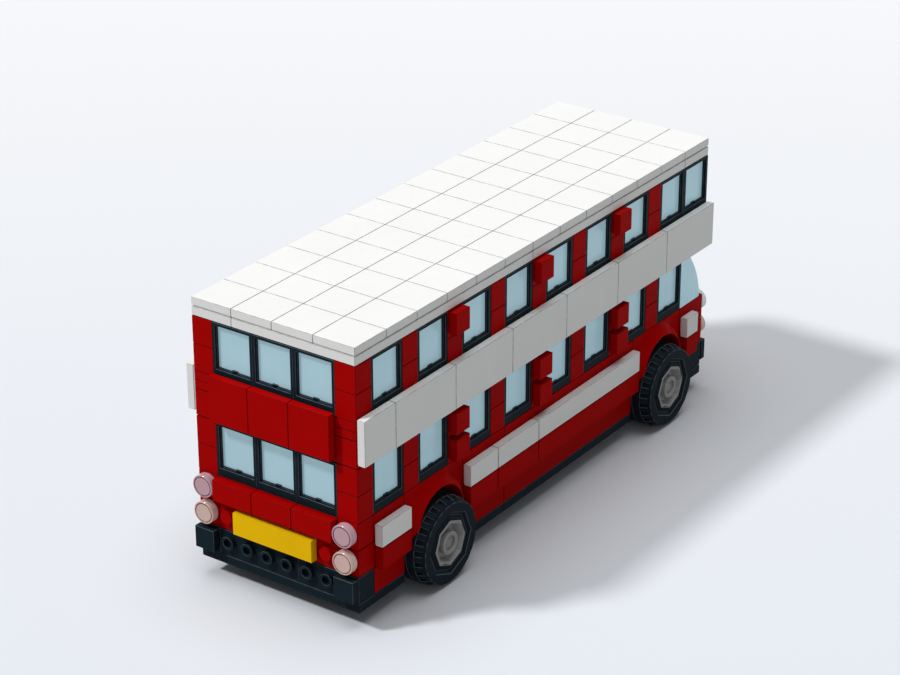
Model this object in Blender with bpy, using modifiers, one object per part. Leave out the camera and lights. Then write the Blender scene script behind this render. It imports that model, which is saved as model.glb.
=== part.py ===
"""A toy double decker bus built from interlocking plastic bricks.

The frame is +X forward, +Y to the bus's left and +Z up, with the origin on the ground under the middle.
Heights are counted in plates above the underside and lengths in studs from the rear face.
"""

import math

import bmesh
import bpy
from mathutils import Matrix
from mathutils import Vector

MM = 0.001

# The brick system: five plates stand as high as two studs are long, and a side stud sits half a stud
# below the top of its brick
PITCH = 8.0 * MM
PLATE_SHARE = 2 / 5
STUD_RADIUS = 2.4 * MM
STUD_HEIGHT = 1.7 * MM
STUD_BORE_RADIUS = 1.6 * MM
STUD_BORE_DEPTH = 1.5 * MM
PIN_HOLE_ABOVE_BOTTOM = 5.8 * MM
SEAT = 0.2 * MM
SEAM = 0.2 * MM
SEAM_DEPTH = 0.6 * MM
PLATE_SKIN = 1.2 * MM
PLATE_RIM = 1.5 * MM
OVERRUN = 1.0 * MM

# The body, in studs long and wide and in plates high
BODY_STUDS = 26
BODY_WIDTH_STUDS = 8

# Plates above the underside at which each layer of the body starts
BUMPER_TOP_PLATES = 4
SILL_PLATES = 10
LOWER_HEAD_PLATES = 16
FLOOR_PLATES = 19
UPPER_SILL_PLATES = 21
ROOF_PLATES = 27
TILE_PLATES = 28
TOP_PLATES = 29
MUDGUARD_PLATES = 3

# Wheels
TYRE_RADIUS = 15.2 * MM
TYRE_WIDTH = 14.0 * MM
TYRE_SHOULDER = 1.2 * MM
TYRE_WALL = 5.8 * MM
TYRE_SEAT_GAP = 0.2 * MM
TYRE_LUGS = 24
LUG_ROW_WIDTH = 3.8 * MM
LUG_GROOVE_WIDTH = 2.0 * MM
LUG_GROOVE_DEPTH = 0.9 * MM
RECESS_DEPTH = 1.0 * MM
RECESS_SHOULDER = 3.75 * MM
RECESS_FLOOR = 0.7 * MM
BEAD_LIP = 0.7 * MM
BEAD_LIP_WIDTH = 1.2 * MM
WHEEL_SIDE_GAP = 0.8 * MM
RIM_FACE_INSET = 0.1 * MM
RIM_LIP_WIDTH = 1.0 * MM
RIM_DISH_SLOPE = 1.6 * MM
RIM_DISH_DEPTH = 2.6 * MM
RIM_HUB_WALL = 1.4 * MM
RIM_FACE_STEPS = 8
PIN_LENGTH = 8.0 * MM
PIN_RADIUS = 2.4 * MM
PIN_RUNNING_GAP = 0.15 * MM
WHEEL_STEPS = 24
PIN_STEPS = 16

# Mudguards
ARCH_INNER_RADIUS = 12.1 * MM
ARCH_FRONT_RADIUS = 12.6 * MM
ARCH_PROUD = 3.2 * MM
TYRE_RUNNING_GAP = 0.3 * MM
ARCH_STEPS = 32

# Windows: one frame is two studs long and six plates high
FRAME_JAMB = 1.1 * MM
FRAME_HEAD = 1.1 * MM
FRAME_SILL = 3.0 * MM
PANE_RECESS = 1.5 * MM
PANE_THICKNESS = 1.0 * MM
NOTCH_WIDTH = 2.2 * MM
NOTCH_DEPTH = 0.6 * MM

# Windscreen
SCREEN_TOP_DEPTH = 5.3 * MM
SCREEN_FOOT_DEPTH = 13.0 * MM
SCREEN_FOOT_RISE = 3.0 * MM
SCREEN_BOW = 1.2 * MM
SCREEN_WALL = 1.5 * MM
SCREEN_STEPS = 6

# Lamps
LAMP_RADIUS = 3.95 * MM
LAMP_FOOT_GROOVE = 0.3 * MM
LAMP_FOOT_HEIGHT = 0.5 * MM
LAMP_STEPS = 16

# Places along the body, in studs from the rear face
ARCH_STUDS = 4
REAR_ARCH_STUDS = 3
FRONT_ARCH_STUDS = 20
SCREEN_STUDS = 24
PLATE_JOINT_STUDS = 10
LOWER_WINDOW_STUDS = (1, 4, 7, 10, 13, 16, 19, 22)
UPPER_WINDOW_STUDS = LOWER_WINDOW_STUDS + (SCREEN_STUDS,)
BLOCK_STUDS = (6, 12, 18)
WINDOW_STUDS = 2
WINDOW_PLATES = 6
REAR_WINDOWS = 3
BRICK_PLATES = 3

# Derived sizes
PLATE = PITCH * PLATE_SHARE
TILE = PLATE
STUD_BELOW_TOP = PITCH / 2
BODY_LENGTH = BODY_STUDS * PITCH
BODY_WIDTH = BODY_WIDTH_STUDS * PITCH
WALL = PITCH
SKIRT_PLATES = BUMPER_TOP_PLATES - BRICK_PLATES
REAR_WALL_STUDS = LOWER_WINDOW_STUDS[0]
FRONT_WALL_STUDS = BODY_STUDS - REAR_WALL_STUDS
SIDE = BODY_WIDTH / 2
INSIDE = SIDE - WALL
UNDERSIDE = TYRE_RADIUS - PIN_HOLE_ABOVE_BOTTOM - SKIRT_PLATES * PLATE
ARCH_WIDTH = ARCH_STUDS * PITCH
SCREEN_ROOF = (BODY_STUDS - SCREEN_STUDS) * PITCH
TYRE_BEAD_RADIUS = TYRE_RADIUS - TYRE_WALL
BEAD_LIP_RADIUS = TYRE_BEAD_RADIUS - BEAD_LIP
BEAD_SEAT = RECESS_DEPTH + BEAD_LIP_WIDTH
RIM_RADIUS = TYRE_BEAD_RADIUS - TYRE_SEAT_GAP
RIM_FACE_RADIUS = BEAD_LIP_RADIUS - TYRE_SEAT_GAP
RIM_DISH_RADIUS = RIM_FACE_RADIUS - RIM_LIP_WIDTH
RIM_BORE_RADIUS = PIN_RADIUS + PIN_RUNNING_GAP
RIM_HUB_RADIUS = RIM_BORE_RADIUS + RIM_HUB_WALL

# Colours of the moulded plastics: red, green, blue, roughness, metallic
PLASTICS = {
    "red_plastic": (0.48, 0.008, 0.006, 0.30, 0.0),
    "white_plastic": (0.80, 0.80, 0.78, 0.30, 0.0),
    "black_plastic": (0.012, 0.020, 0.026, 0.35, 0.0),
    "yellow_plastic": (0.80, 0.46, 0.01, 0.30, 0.0),
    "grey_plastic": (0.30, 0.29, 0.28, 0.35, 0.0),
    "blue_clear_plastic": (0.45, 0.66, 0.74, 0.10, 0.0),
    "pink_clear_plastic": (0.68, 0.50, 0.58, 0.15, 0.0),
    "peach_clear_plastic": (0.85, 0.62, 0.52, 0.15, 0.0),
    "clear_plastic": (0.80, 0.86, 0.88, 0.12, 0.0),
    "tyre_rubber": (0.010, 0.014, 0.018, 0.70, 0.0),
}


def station(studs):
    """X of a stud line, counted from the rear face."""
    return studs * PITCH - BODY_LENGTH / 2


def level(plates):
    """Z of a plate line, counted from the underside."""
    return UNDERSIDE + plates * PLATE


def clear_scene():
    for item in list(bpy.data.objects):
        bpy.data.objects.remove(item, do_unlink=True)


def new_collection(name):
    group = bpy.data.collections.new(name)
    bpy.context.scene.collection.children.link(group)
    return group


def plastic(name):
    """Principled material of one moulded plastic."""
    if name in bpy.data.materials:
        return bpy.data.materials[name]
    red, green, blue, roughness, metallic = PLASTICS[name]
    material = bpy.data.materials.new(name)
    material.use_nodes = True
    shader = material.node_tree.nodes["Principled BSDF"]
    shader.inputs["Base Color"].default_value = (red, green, blue, 1.0)
    shader.inputs["Roughness"].default_value = roughness
    shader.inputs["Metallic"].default_value = metallic
    return material


def place(name, bm, group, finish=None):
    """Turn a bmesh into an object in a collection, with its material."""
    mesh = bpy.data.meshes.new(name)
    bm.to_mesh(mesh)
    bm.free()
    item = bpy.data.objects.new(name, mesh)
    group.objects.link(item)
    if finish:
        mesh.materials.append(plastic(finish))
    return item


def block(bm, low, high):
    """Add an axis-aligned box between two corners."""
    size = Vector(high) - Vector(low)
    middle = (Vector(high) + Vector(low)) / 2
    matrix = Matrix.Translation(middle) @ Matrix.Diagonal(size).to_4x4()
    bmesh.ops.create_cube(bm, size=1.0, matrix=matrix)


def blocks_mesh(boxes):
    bm = bmesh.new()
    for low, high in boxes:
        block(bm, low, high)
    return bm


def barrel(bm, centre, radius, length, axis, steps):
    """Add a cylinder along X or Y, its middle at the centre."""
    turn = Matrix.Rotation(math.pi / 2, 4, "Y" if axis == "X" else "X")
    matrix = Matrix.Translation(centre) @ turn
    bmesh.ops.create_cone(
        bm, cap_ends=True, segments=steps, radius1=radius, radius2=radius, depth=length, matrix=matrix
    )


def boolean(item, bm, operation, label):
    """Join or cut an object with the bodies of a bmesh."""
    tool = place(item.name + "_" + label, bm, CUTTERS)
    tool.location = item.location
    tool.rotation_euler = item.rotation_euler
    tool.hide_render = True
    tool.display_type = "WIRE"
    modifier = item.modifiers.new(label, "BOOLEAN")
    modifier.operation = operation
    modifier.solver = "EXACT"
    modifier.object = tool


def join(item, bm, label="join"):
    boolean(item, bm, "UNION", label)


def cut(item, bm, label="cut"):
    boolean(item, bm, "DIFFERENCE", label)


def layer(low_plates, high_plates):
    """Bottom and top of a piece that seats on the layer below."""
    return level(low_plates) + SEAT, level(high_plates)


def side_box(x_range, y_range, z_range, side):
    """Corners of a box on the left (side 1) or right (side -1)."""
    y_low, y_high = sorted((side * y_range[0], side * y_range[1]))
    return (x_range[0], y_low, z_range[0]), (x_range[1], y_high, z_range[1])


def seams_mesh(stations, low, high, axis, face, inward):
    """Thin grooves across a flat face, at the given places along an axis."""
    bm = bmesh.new()
    for place_along in stations:
        corner_low = list(low)
        corner_high = list(high)
        corner_low[axis] = place_along - SEAM / 2
        corner_high[axis] = place_along + SEAM / 2
        depth_axis = face[0]
        outer = face[1] - inward * OVERRUN
        inner = face[1] + inward * SEAM_DEPTH
        corner_low[depth_axis], corner_high[depth_axis] = sorted((outer, inner))
        block(bm, corner_low, corner_high)
    return bm


# Chassis


def base_plate():
    """Black plates under the whole bus, narrower between the wheels."""
    z_range = (level(0), level(SKIRT_PLATES))
    low = (station(0), -SIDE, z_range[0])
    high = (station(BODY_STUDS), SIDE, z_range[1])
    item = place("base_plate", blocks_mesh([(low, high)]), PARTS, "black_plastic")
    notches = []
    for first in (REAR_ARCH_STUDS, FRONT_ARCH_STUDS):
        x_range = (station(first), station(first + ARCH_STUDS))
        for side in (-1, 1):
            y_range = (INSIDE, SIDE + OVERRUN)
            tall = (z_range[0] - OVERRUN, z_range[1] + OVERRUN)
            notches.append(side_box(x_range, y_range, tall, side))
    cut(item, blocks_mesh(notches), "wheel_notches")
    z_hollow = (z_range[0] - OVERRUN, z_range[1] - PLATE_SKIN)
    hollows = []
    for first, last in ((0, PLATE_JOINT_STUDS), (PLATE_JOINT_STUDS, BODY_STUDS)):
        x_range = (station(first) + PLATE_RIM, station(last) - PLATE_RIM)
        reach = INSIDE - PLATE_RIM
        hollows.append(((x_range[0], -reach, z_hollow[0]), (x_range[1], reach, z_hollow[1])))
    edge_plates = (
        (0, REAR_ARCH_STUDS),
        (REAR_ARCH_STUDS + ARCH_STUDS, PLATE_JOINT_STUDS),
        (PLATE_JOINT_STUDS, FRONT_ARCH_STUDS),
        (FRONT_ARCH_STUDS + ARCH_STUDS, BODY_STUDS),
    )
    for first, last in edge_plates:
        x_range = (station(first) + PLATE_RIM, station(last) - PLATE_RIM)
        for side in (-1, 1):
            hollows.append(side_box(x_range, (INSIDE + PLATE_RIM, SIDE - PLATE_RIM), z_hollow, side))
    cut(item, blocks_mesh(hollows), "hollows")


def axle_centre(first):
    return station(first) + ARCH_WIDTH / 2


def axle_brick(name, first, side):
    """Brick with round holes across it, its middle one filled by the wheel's pin."""
    z_low, z_high = layer(SKIRT_PLATES, BUMPER_TOP_PLATES)
    x_range = (station(first), station(first + ARCH_STUDS))
    y_range = (INSIDE - WALL, INSIDE)
    box = side_box(x_range, y_range, (z_low, z_high), side)
    item = place(name, blocks_mesh([box]), PARTS, "black_plastic")
    holes = bmesh.new()
    for offset in (-PITCH, PITCH):
        centre = (axle_centre(first) + offset, side * (INSIDE - WALL / 2), TYRE_RADIUS)
        barrel(holes, centre, STUD_RADIUS, WALL + 2 * OVERRUN, "Y", PIN_STEPS)
    cut(item, holes, "pin_holes")
    pin = bmesh.new()
    centre = (axle_centre(first), side * (INSIDE + (PIN_LENGTH - OVERRUN) / 2), TYRE_RADIUS)
    barrel(pin, centre, PIN_RADIUS, PIN_LENGTH + OVERRUN, "Y", PIN_STEPS)
    join(item, pin, "pin")


def arch_outline(half_width, radius, foot, spring, steps):
    """Points of an arch: up one leg, round the top and down the other."""
    points = [(-half_width, foot)]
    for step in range(steps + 1):
        angle = math.pi * (1 - step / steps)
        points.append((radius * math.cos(angle), spring + radius * math.sin(angle)))
    points.append((half_width, foot))
    return points


def loft(rings):
    """Closed solid through rings of points, each ring with the same count."""
    bm = bmesh.new()
    rows = [[bm.verts.new(point) for point in ring] for ring in rings]
    bm.faces.new(rows[0])
    bm.faces.new(rows[-1])
    for near, far in zip(rows, rows[1:]):
        for index in range(len(near)):
            after = (index + 1) % len(near)
            bm.faces.new((near[index], near[after], far[after], far[index]))
    bmesh.ops.recalc_face_normals(bm, faces=bm.faces)
    return bm


def ring_at(outline, x_middle, y):
    """A flat outline in XZ, moved to its place."""
    return [(x_middle + x, y, z) for x, z in outline]


def prism(outline, y_from, y_to, x_middle):
    """Solid between a flat outline in XZ and its copy further along Y."""
    return loft([ring_at(outline, x_middle, y_from), ring_at(outline, x_middle, y_to)])


def mudguard(name, first, side):
    """Wheel arch moulding with a sloping lip round its opening and a shelf reaching inwards."""
    z_low, z_high = layer(MUDGUARD_PLATES, SILL_PLATES)
    middle = axle_centre(first)
    half = ARCH_WIDTH / 2 - SEAT
    spring = z_high - half
    section = [
        (side * SIDE, z_low),
        (side * SIDE, z_high),
        (side * (INSIDE - WALL), z_high),
        (side * (INSIDE - WALL), z_high - PLATE),
        (side * (INSIDE + SEAT), z_high - PLATE),
        (side * (INSIDE + SEAT), z_low),
    ]
    body = loft([[(middle + reach, y, z) for y, z in section] for reach in (-half, half)])
    item = place(name, body, PARTS, "red_plastic")

    root = half - SEAT
    wide = arch_outline(root, root, z_low + SEAT, spring, ARCH_STEPS)
    narrow = arch_outline(ARCH_FRONT_RADIUS, ARCH_FRONT_RADIUS, z_low + SEAT, spring, ARCH_STEPS)
    lip = loft(
        [
            ring_at(wide, middle, side * (SIDE - OVERRUN)),
            ring_at(wide, middle, side * SIDE),
            ring_at(narrow, middle, side * (SIDE + ARCH_PROUD)),
        ]
    )
    join(item, lip, "lip")

    throat = (ARCH_INNER_RADIUS, ARCH_INNER_RADIUS, z_low - OVERRUN, spring, ARCH_STEPS)
    near = side * (INSIDE - SEAT)
    opening = prism(arch_outline(*throat), near, side * (SIDE + ARCH_PROUD + OVERRUN), middle)
    cut(item, opening, "opening")
    sweep = bmesh.new()
    depth = WALL + ARCH_PROUD + OVERRUN
    centre = (middle, side * (INSIDE + depth / 2), TYRE_RADIUS)
    barrel(sweep, centre, TYRE_RADIUS + TYRE_RUNNING_GAP, depth, "Y", ARCH_STEPS)
    cut(item, sweep, "tyre_sweep")


# Wheels


def set_on_axle(item, first, side):
    """Stand a wheel piece on its axle: its own Z runs outwards from the wheel's inner face."""
    item.rotation_euler = (math.pi / 2 if side < 0 else -math.pi / 2, 0.0, 0.0)
    item.location = (axle_centre(first), side * (INSIDE + WHEEL_SIDE_GAP), TYRE_RADIUS)


def drum(bm, start, end, radius_start, radius_end, steps):
    """Add a cylinder or cone along the wheel's own axis, with a corner at the top."""
    bmesh.ops.create_cone(
        bm,
        cap_ends=True,
        segments=steps,
        radius1=radius_start,
        radius2=radius_end,
        depth=end - start,
        matrix=Matrix.Translation((0.0, 0.0, (start + end) / 2)),
    )


def tyre(name, first, side):
    """Rubber tyre: two rows of lugs, a smooth band between them and a dished wall on each side."""
    face = TYRE_WIDTH
    bead = TYRE_BEAD_RADIUS
    lip = BEAD_LIP_RADIUS
    profile = [
        (face, lip),
        (face, TYRE_RADIUS - TYRE_SHOULDER),
        (face - TYRE_SHOULDER, TYRE_RADIUS),
        (TYRE_SHOULDER, TYRE_RADIUS),
        (0.0, TYRE_RADIUS - TYRE_SHOULDER),
        (0.0, lip),
        (BEAD_SEAT, lip),
        (BEAD_SEAT, bead),
        (face - BEAD_SEAT, bead),
        (face - BEAD_SEAT, lip),
    ]
    bm = bmesh.new()
    corners = [bm.verts.new((radius, 0.0, outward)) for outward, radius in profile]
    for index, corner in enumerate(corners):
        bm.edges.new((corner, corners[(index + 1) % len(corners)]))
    item = place(name, bm, PARTS, "tyre_rubber")
    screw = item.modifiers.new("turn", "SCREW")
    screw.axis = "Z"
    screw.angle = 2 * math.pi
    screw.steps = WHEEL_STEPS
    screw.render_steps = WHEEL_STEPS
    screw.use_merge_vertices = True
    screw.merge_threshold = 0.0001 * MM
    set_on_axle(item, first, side)

    recess = bmesh.new()
    wide = TYRE_RADIUS - RECESS_SHOULDER
    narrow = TYRE_BEAD_RADIUS + RECESS_FLOOR
    slope = (wide - narrow) / RECESS_DEPTH
    grown = wide + slope * OVERRUN
    drum(recess, face - RECESS_DEPTH, face + OVERRUN, narrow, grown, RIM_FACE_STEPS)
    drum(recess, -OVERRUN, RECESS_DEPTH, grown, narrow, RIM_FACE_STEPS)
    cut(item, recess, "side_recesses")

    grooves = bmesh.new()
    low = TYRE_RADIUS - LUG_GROOVE_DEPTH
    high = TYRE_RADIUS + OVERRUN
    half = LUG_GROOVE_WIDTH / 2
    rows = ((face - LUG_ROW_WIDTH, face + OVERRUN, 0.0), (-OVERRUN, LUG_ROW_WIDTH, math.pi / TYRE_LUGS))
    for start, end, lag in rows:
        for index in range(TYRE_LUGS):
            turn = Matrix.Rotation(lag + 2 * math.pi * index / TYRE_LUGS, 4, "Z")
            size = Matrix.Diagonal((high - low, 2 * half, end - start, 1.0))
            middle = Matrix.Translation(((low + high) / 2, 0.0, (start + end) / 2))
            bmesh.ops.create_cube(grooves, size=1.0, matrix=turn @ middle @ size)
    cut(item, grooves, "grooves")


def rim(name, first, side):
    """Grey wheel centre: round barrel, eight-sided dished face and a bored hub."""
    bm = bmesh.new()
    edge = BEAD_SEAT + TYRE_SEAT_GAP
    drum(bm, edge, TYRE_WIDTH - edge, RIM_RADIUS, RIM_RADIUS, WHEEL_STEPS)
    item = place(name, bm, PARTS, "grey_plastic")
    set_on_axle(item, first, side)

    face = TYRE_WIDTH - RIM_FACE_INSET
    ends = bmesh.new()
    drum(ends, RIM_FACE_INSET, face, RIM_FACE_RADIUS, RIM_FACE_RADIUS, RIM_FACE_STEPS)
    join(item, ends, "faces")
    dish = bmesh.new()
    floor = RIM_DISH_RADIUS - RIM_DISH_SLOPE
    grown = RIM_DISH_RADIUS + RIM_DISH_SLOPE / RIM_DISH_DEPTH * OVERRUN
    drum(dish, face - RIM_DISH_DEPTH, face + OVERRUN, floor, grown, RIM_FACE_STEPS)
    cut(item, dish, "dish")
    hub = bmesh.new()
    foot = face - RIM_DISH_DEPTH - OVERRUN
    drum(hub, foot, face, RIM_HUB_RADIUS, RIM_HUB_RADIUS, PIN_STEPS)
    join(item, hub, "hub")
    bore = bmesh.new()
    drum(bore, -OVERRUN, TYRE_WIDTH + OVERRUN, RIM_BORE_RADIUS, RIM_BORE_RADIUS, PIN_STEPS)
    cut(item, bore, "bore")


# Walls of the lower body


def side_tiles(bm, first, last, top_offset, side):
    """Box of tiles standing proud of a side wall."""
    top = level(SILL_PLATES - 1) - top_offset
    x_range = (station(first) + SEAT, station(last) - SEAT)
    y_range = (SIDE - OVERRUN, SIDE + TILE)
    low, high = side_box(x_range, y_range, (top - PITCH + SEAM, top - SEAM / 2), side)
    block(bm, low, high)


def wall_box(first, last, low_level, high_level, side):
    z_range = layer(low_level, high_level)
    x_range = (station(first) + SEAT / 2, station(last) - SEAT / 2)
    return side_box(x_range, (INSIDE, SIDE), z_range, side)


def lower_wall(name, side):
    """Red bricks along the side between the wheels, with their proud red tiles."""
    first = REAR_ARCH_STUDS + ARCH_STUDS
    last = FRONT_ARCH_STUDS
    box = wall_box(first, last, SKIRT_PLATES, SILL_PLATES, side)
    item = place(name, blocks_mesh([box]), PARTS, "red_plastic")
    tiles = bmesh.new()
    side_tiles(tiles, first, last, PITCH, side)
    join(item, tiles, "tiles")


def end_skirt(name, facing):
    """Red bricks across one end and their returns along both sides to the wheel arches."""
    face_x = facing * BODY_LENGTH / 2
    wall_x = face_x - facing * WALL
    if facing < 0:
        returns = (REAR_WALL_STUDS, REAR_ARCH_STUDS)
        reach = station(REAR_ARCH_STUDS) - SEAT / 2
    else:
        returns = (FRONT_ARCH_STUDS + ARCH_STUDS, FRONT_WALL_STUDS)
        reach = station(FRONT_ARCH_STUDS + ARCH_STUDS) + SEAT / 2
    plan = [
        (face_x, -SIDE),
        (reach, -SIDE),
        (reach, -INSIDE),
        (wall_x, -INSIDE),
        (wall_x, INSIDE),
        (reach, INSIDE),
        (reach, SIDE),
        (face_x, SIDE),
    ]
    z_range = layer(SKIRT_PLATES, SILL_PLATES)
    shell = loft([[(x, y, z) for x, y in plan] for z in z_range])
    item = place(name, shell, PARTS, "red_plastic")
    under = level(BUMPER_TOP_PLATES) + SEAT
    x_low, x_high = sorted((face_x + facing * OVERRUN, wall_x - facing * SEAT / 2))
    wide = SIDE + OVERRUN
    cut(item, blocks_mesh([((x_low, -wide, level(0)), (x_high, wide, under))]), "bumper_space")
    tiles = bmesh.new()
    for side in (-1, 1):
        side_tiles(tiles, returns[0], returns[1], PITCH, side)
    top = level(SILL_PLATES)
    x_low, x_high = sorted((face_x - facing * OVERRUN, face_x + facing * TILE))
    block(tiles, (x_low, -INSIDE + SEAT, top - PITCH + SEAM), (x_high, INSIDE - SEAT, top - SEAM / 2))
    join(item, tiles, "tiles")
    studs = bmesh.new()
    stud_z = level(BUMPER_TOP_PLATES + BRICK_PLATES) - STUD_BELOW_TOP
    reach = STUD_HEIGHT + OVERRUN
    for side in (-1, 1):
        middle = (face_x + facing * (STUD_HEIGHT - OVERRUN) / 2, side * (INSIDE - PITCH / 2), stud_z)
        barrel(studs, middle, STUD_RADIUS, reach, "X", PIN_STEPS)
    join(item, studs, "side_studs")


def white_strip(name, first, last, side):
    """White tiles clipped to the side studs of the wall."""
    top = level(SILL_PLATES - 1)
    x_range = (station(first) + SEAT, station(last) - SEAT)
    low, high = side_box(x_range, (SIDE + SEAT, SIDE + TILE), (top - PITCH + SEAM, top - SEAM / 2), side)
    place(name, blocks_mesh([(low, high)]), PARTS, "white_plastic")


def bumper(name, facing):
    """Black bricks across one end with hollow studs and an end tile at each corner."""
    z_low, z_high = layer(SKIRT_PLATES, BUMPER_TOP_PLATES)
    face_x = facing * BODY_LENGTH / 2
    x_low, x_high = sorted((face_x, face_x - facing * WALL))
    box = ((x_low, -SIDE, z_low), (x_high, SIDE, z_high))
    item = place(name, blocks_mesh([box]), PARTS, "black_plastic")
    studs = bmesh.new()
    bores = bmesh.new()
    stud_z = z_high - STUD_BELOW_TOP
    count = BODY_WIDTH_STUDS - 2
    for index in range(count):
        y = (index - (count - 1) / 2) * PITCH
        reach = STUD_HEIGHT + OVERRUN
        middle = (face_x + facing * (STUD_HEIGHT - OVERRUN) / 2, y, stud_z)
        barrel(studs, middle, STUD_RADIUS, reach, "X", PIN_STEPS)
        depth = STUD_BORE_DEPTH + OVERRUN
        mouth = (face_x + facing * (STUD_HEIGHT - STUD_BORE_DEPTH + OVERRUN) / 2, y, stud_z)
        barrel(bores, mouth, STUD_BORE_RADIUS, depth, "X", PIN_STEPS // 2)
    join(item, studs, "studs")
    cut(item, bores, "stud_bores")
    tiles = bmesh.new()
    for side in (-1, 1):
        tile_x = sorted((face_x - facing * OVERRUN, face_x + facing * TILE))
        y_range = (INSIDE + SEAT, SIDE)
        low, high = side_box(tile_x, y_range, (z_high - PITCH, z_high - SEAM / 2), side)
        block(tiles, low, high)
    join(item, tiles, "end_tiles")


# Number plates and lamps on the end bricks


def end_tile(name, facing, finish):
    """Blank number plate: a tile of four studs on the end bricks."""
    stud_z = level(BUMPER_TOP_PLATES + BRICK_PLATES) - STUD_BELOW_TOP
    face_x = facing * (BODY_LENGTH / 2 + SEAT)
    outside = facing * (BODY_LENGTH / 2 + TILE)
    x_low, x_high = sorted((face_x, outside))
    half = 2 * PITCH - SEAM / 2
    low = (x_low, -half, stud_z - PITCH / 2 + SEAM)
    high = (x_high, half, stud_z + PITCH / 2 - SEAM)
    place(name, blocks_mesh([(low, high)]), PARTS, finish)


def lamp(name, facing, side, brick_top, finish):
    """Round clear tile on a corner stud: a narrow foot under a wider face."""
    centre_z = level(brick_top) - STUD_BELOW_TOP
    start = facing * (BODY_LENGTH / 2 + SEAT)
    foot = LAMP_FOOT_HEIGHT
    head = TILE - SEAT - foot
    y = side * (SIDE - PITCH / 2)
    bm = bmesh.new()
    barrel(bm, (start + facing * (foot + head / 2), y, centre_z), LAMP_RADIUS, head, "X", LAMP_STEPS)
    item = place(name, bm, PARTS, finish)
    base = bmesh.new()
    length = foot + OVERRUN
    middle = (start + facing * length / 2, y, centre_z)
    barrel(base, middle, LAMP_RADIUS - LAMP_FOOT_GROOVE, length, "X", LAMP_STEPS)
    join(item, base, "foot")


# Windows


def window_cutters(along, low_level, face, inward, axis):
    """Recesses outside and inside one window unit, which leave its frame and its pane.

    along is the middle of the unit on its wall, face the outer plane and inward the way in.
    """
    half = WINDOW_STUDS * PITCH / 2 - FRAME_JAMB
    bottom = level(low_level) + FRAME_SILL
    top = level(low_level + WINDOW_PLATES) - FRAME_HEAD
    outer = (face - inward * OVERRUN, face + inward * PANE_RECESS)
    inner = (face + inward * (PANE_RECESS + PANE_THICKNESS), face + inward * (WALL + OVERRUN))
    shapes = (
        (half, bottom, top, outer),
        (half, bottom, top, inner),
        (NOTCH_WIDTH / 2, bottom - NOTCH_DEPTH, bottom + OVERRUN, outer),
    )
    boxes = []
    for reach, foot, head, depth in shapes:
        near, far = sorted(depth)
        low = [along - reach, near, foot]
        high = [along + reach, far, head]
        if axis == "X":
            low[0], low[1] = low[1], low[0]
            high[0], high[1] = high[1], high[0]
        boxes.append((low, high))
    return boxes


def cut_windows(item, units):
    """Cut the recesses on both sides of each pane, then the notch in each sill."""
    cut(item, blocks_mesh([box for unit in units for box in unit[:-1]]), "window_recesses")
    cut(item, blocks_mesh([unit[-1] for unit in units]), "sill_notches")


def window_side(name, first, last, sill_level, windows, side, block_levels):
    """Side wall of one deck: pillars, window units and the small blocks on the pillars."""
    box = wall_box(first, last, sill_level, sill_level + WINDOW_PLATES, side)
    item = place(name, blocks_mesh([box]), PARTS, "red_plastic")
    units = []
    for stud in windows:
        middle = station(stud) + WINDOW_STUDS * PITCH / 2
        units.append(window_cutters(middle, sill_level, side * SIDE, -side, "Y"))
    cut_windows(item, units)
    tiles = bmesh.new()
    for top_level in block_levels:
        top = level(top_level)
        for stud in BLOCK_STUDS:
            x_range = (station(stud) + SEAT, station(stud + 1) - SEAT)
            y_range = (SIDE - OVERRUN, SIDE + TILE)
            low, high = side_box(x_range, y_range, (top - PITCH, top - SEAT), side)
            block(tiles, low, high)
    join(item, tiles, "pillar_tiles")


def window_end(name, facing, sill_level):
    """Three window units side by side between the corner pillars of one end."""
    z_low, z_high = layer(sill_level, sill_level + WINDOW_PLATES)
    face_x = facing * BODY_LENGTH / 2
    x_low, x_high = sorted((face_x, face_x - facing * WALL))
    y_edge = INSIDE - SEAT
    box = ((x_low, -y_edge, z_low), (x_high, y_edge, z_high))
    item = place(name, blocks_mesh([box]), PARTS, "black_plastic")
    units = []
    for index in range(REAR_WINDOWS):
        middle = (index - (REAR_WINDOWS - 1) / 2) * WINDOW_STUDS * PITCH
        units.append(window_cutters(middle, sill_level, face_x, -facing, "X"))
    cut_windows(item, units)


def windscreen(name):
    """Clear front screen of the lower deck: a bowed slope with closed cheeks, open behind and below."""
    z_low, z_high = layer(SILL_PLATES, LOWER_HEAD_PLATES)
    back = station(SCREEN_STUDS) + SEAT / 2

    def outline(wall, sink):
        points = [(back - sink, z_low - sink), (back + SCREEN_FOOT_DEPTH - wall, z_low - sink)]
        foot = z_low + SCREEN_FOOT_RISE
        top = z_high - wall
        for step in range(SCREEN_STEPS + 1):
            share = step / SCREEN_STEPS
            run = SCREEN_FOOT_DEPTH + (SCREEN_TOP_DEPTH - SCREEN_FOOT_DEPTH) * share
            bow = SCREEN_BOW * math.sin(math.pi * share)
            points.append((back + run + bow - wall, foot + (top - foot) * share))
        points.append((back - sink, top))
        return points

    shell = prism(outline(0.0, 0.0), -SIDE, SIDE, 0.0)
    item = place(name, shell, PARTS, "blue_clear_plastic")
    hollow = prism(outline(SCREEN_WALL, OVERRUN), -SIDE + SCREEN_WALL, SIDE - SCREEN_WALL, 0.0)
    cut(item, hollow, "hollow")


# Belt between the decks


def belt_side(name, side):
    z_range = layer(LOWER_HEAD_PLATES, FLOOR_PLATES)
    box = side_box((station(0), station(BODY_STUDS)), (INSIDE, SIDE), z_range, side)
    place(name, blocks_mesh([box]), PARTS, "red_plastic")


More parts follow.
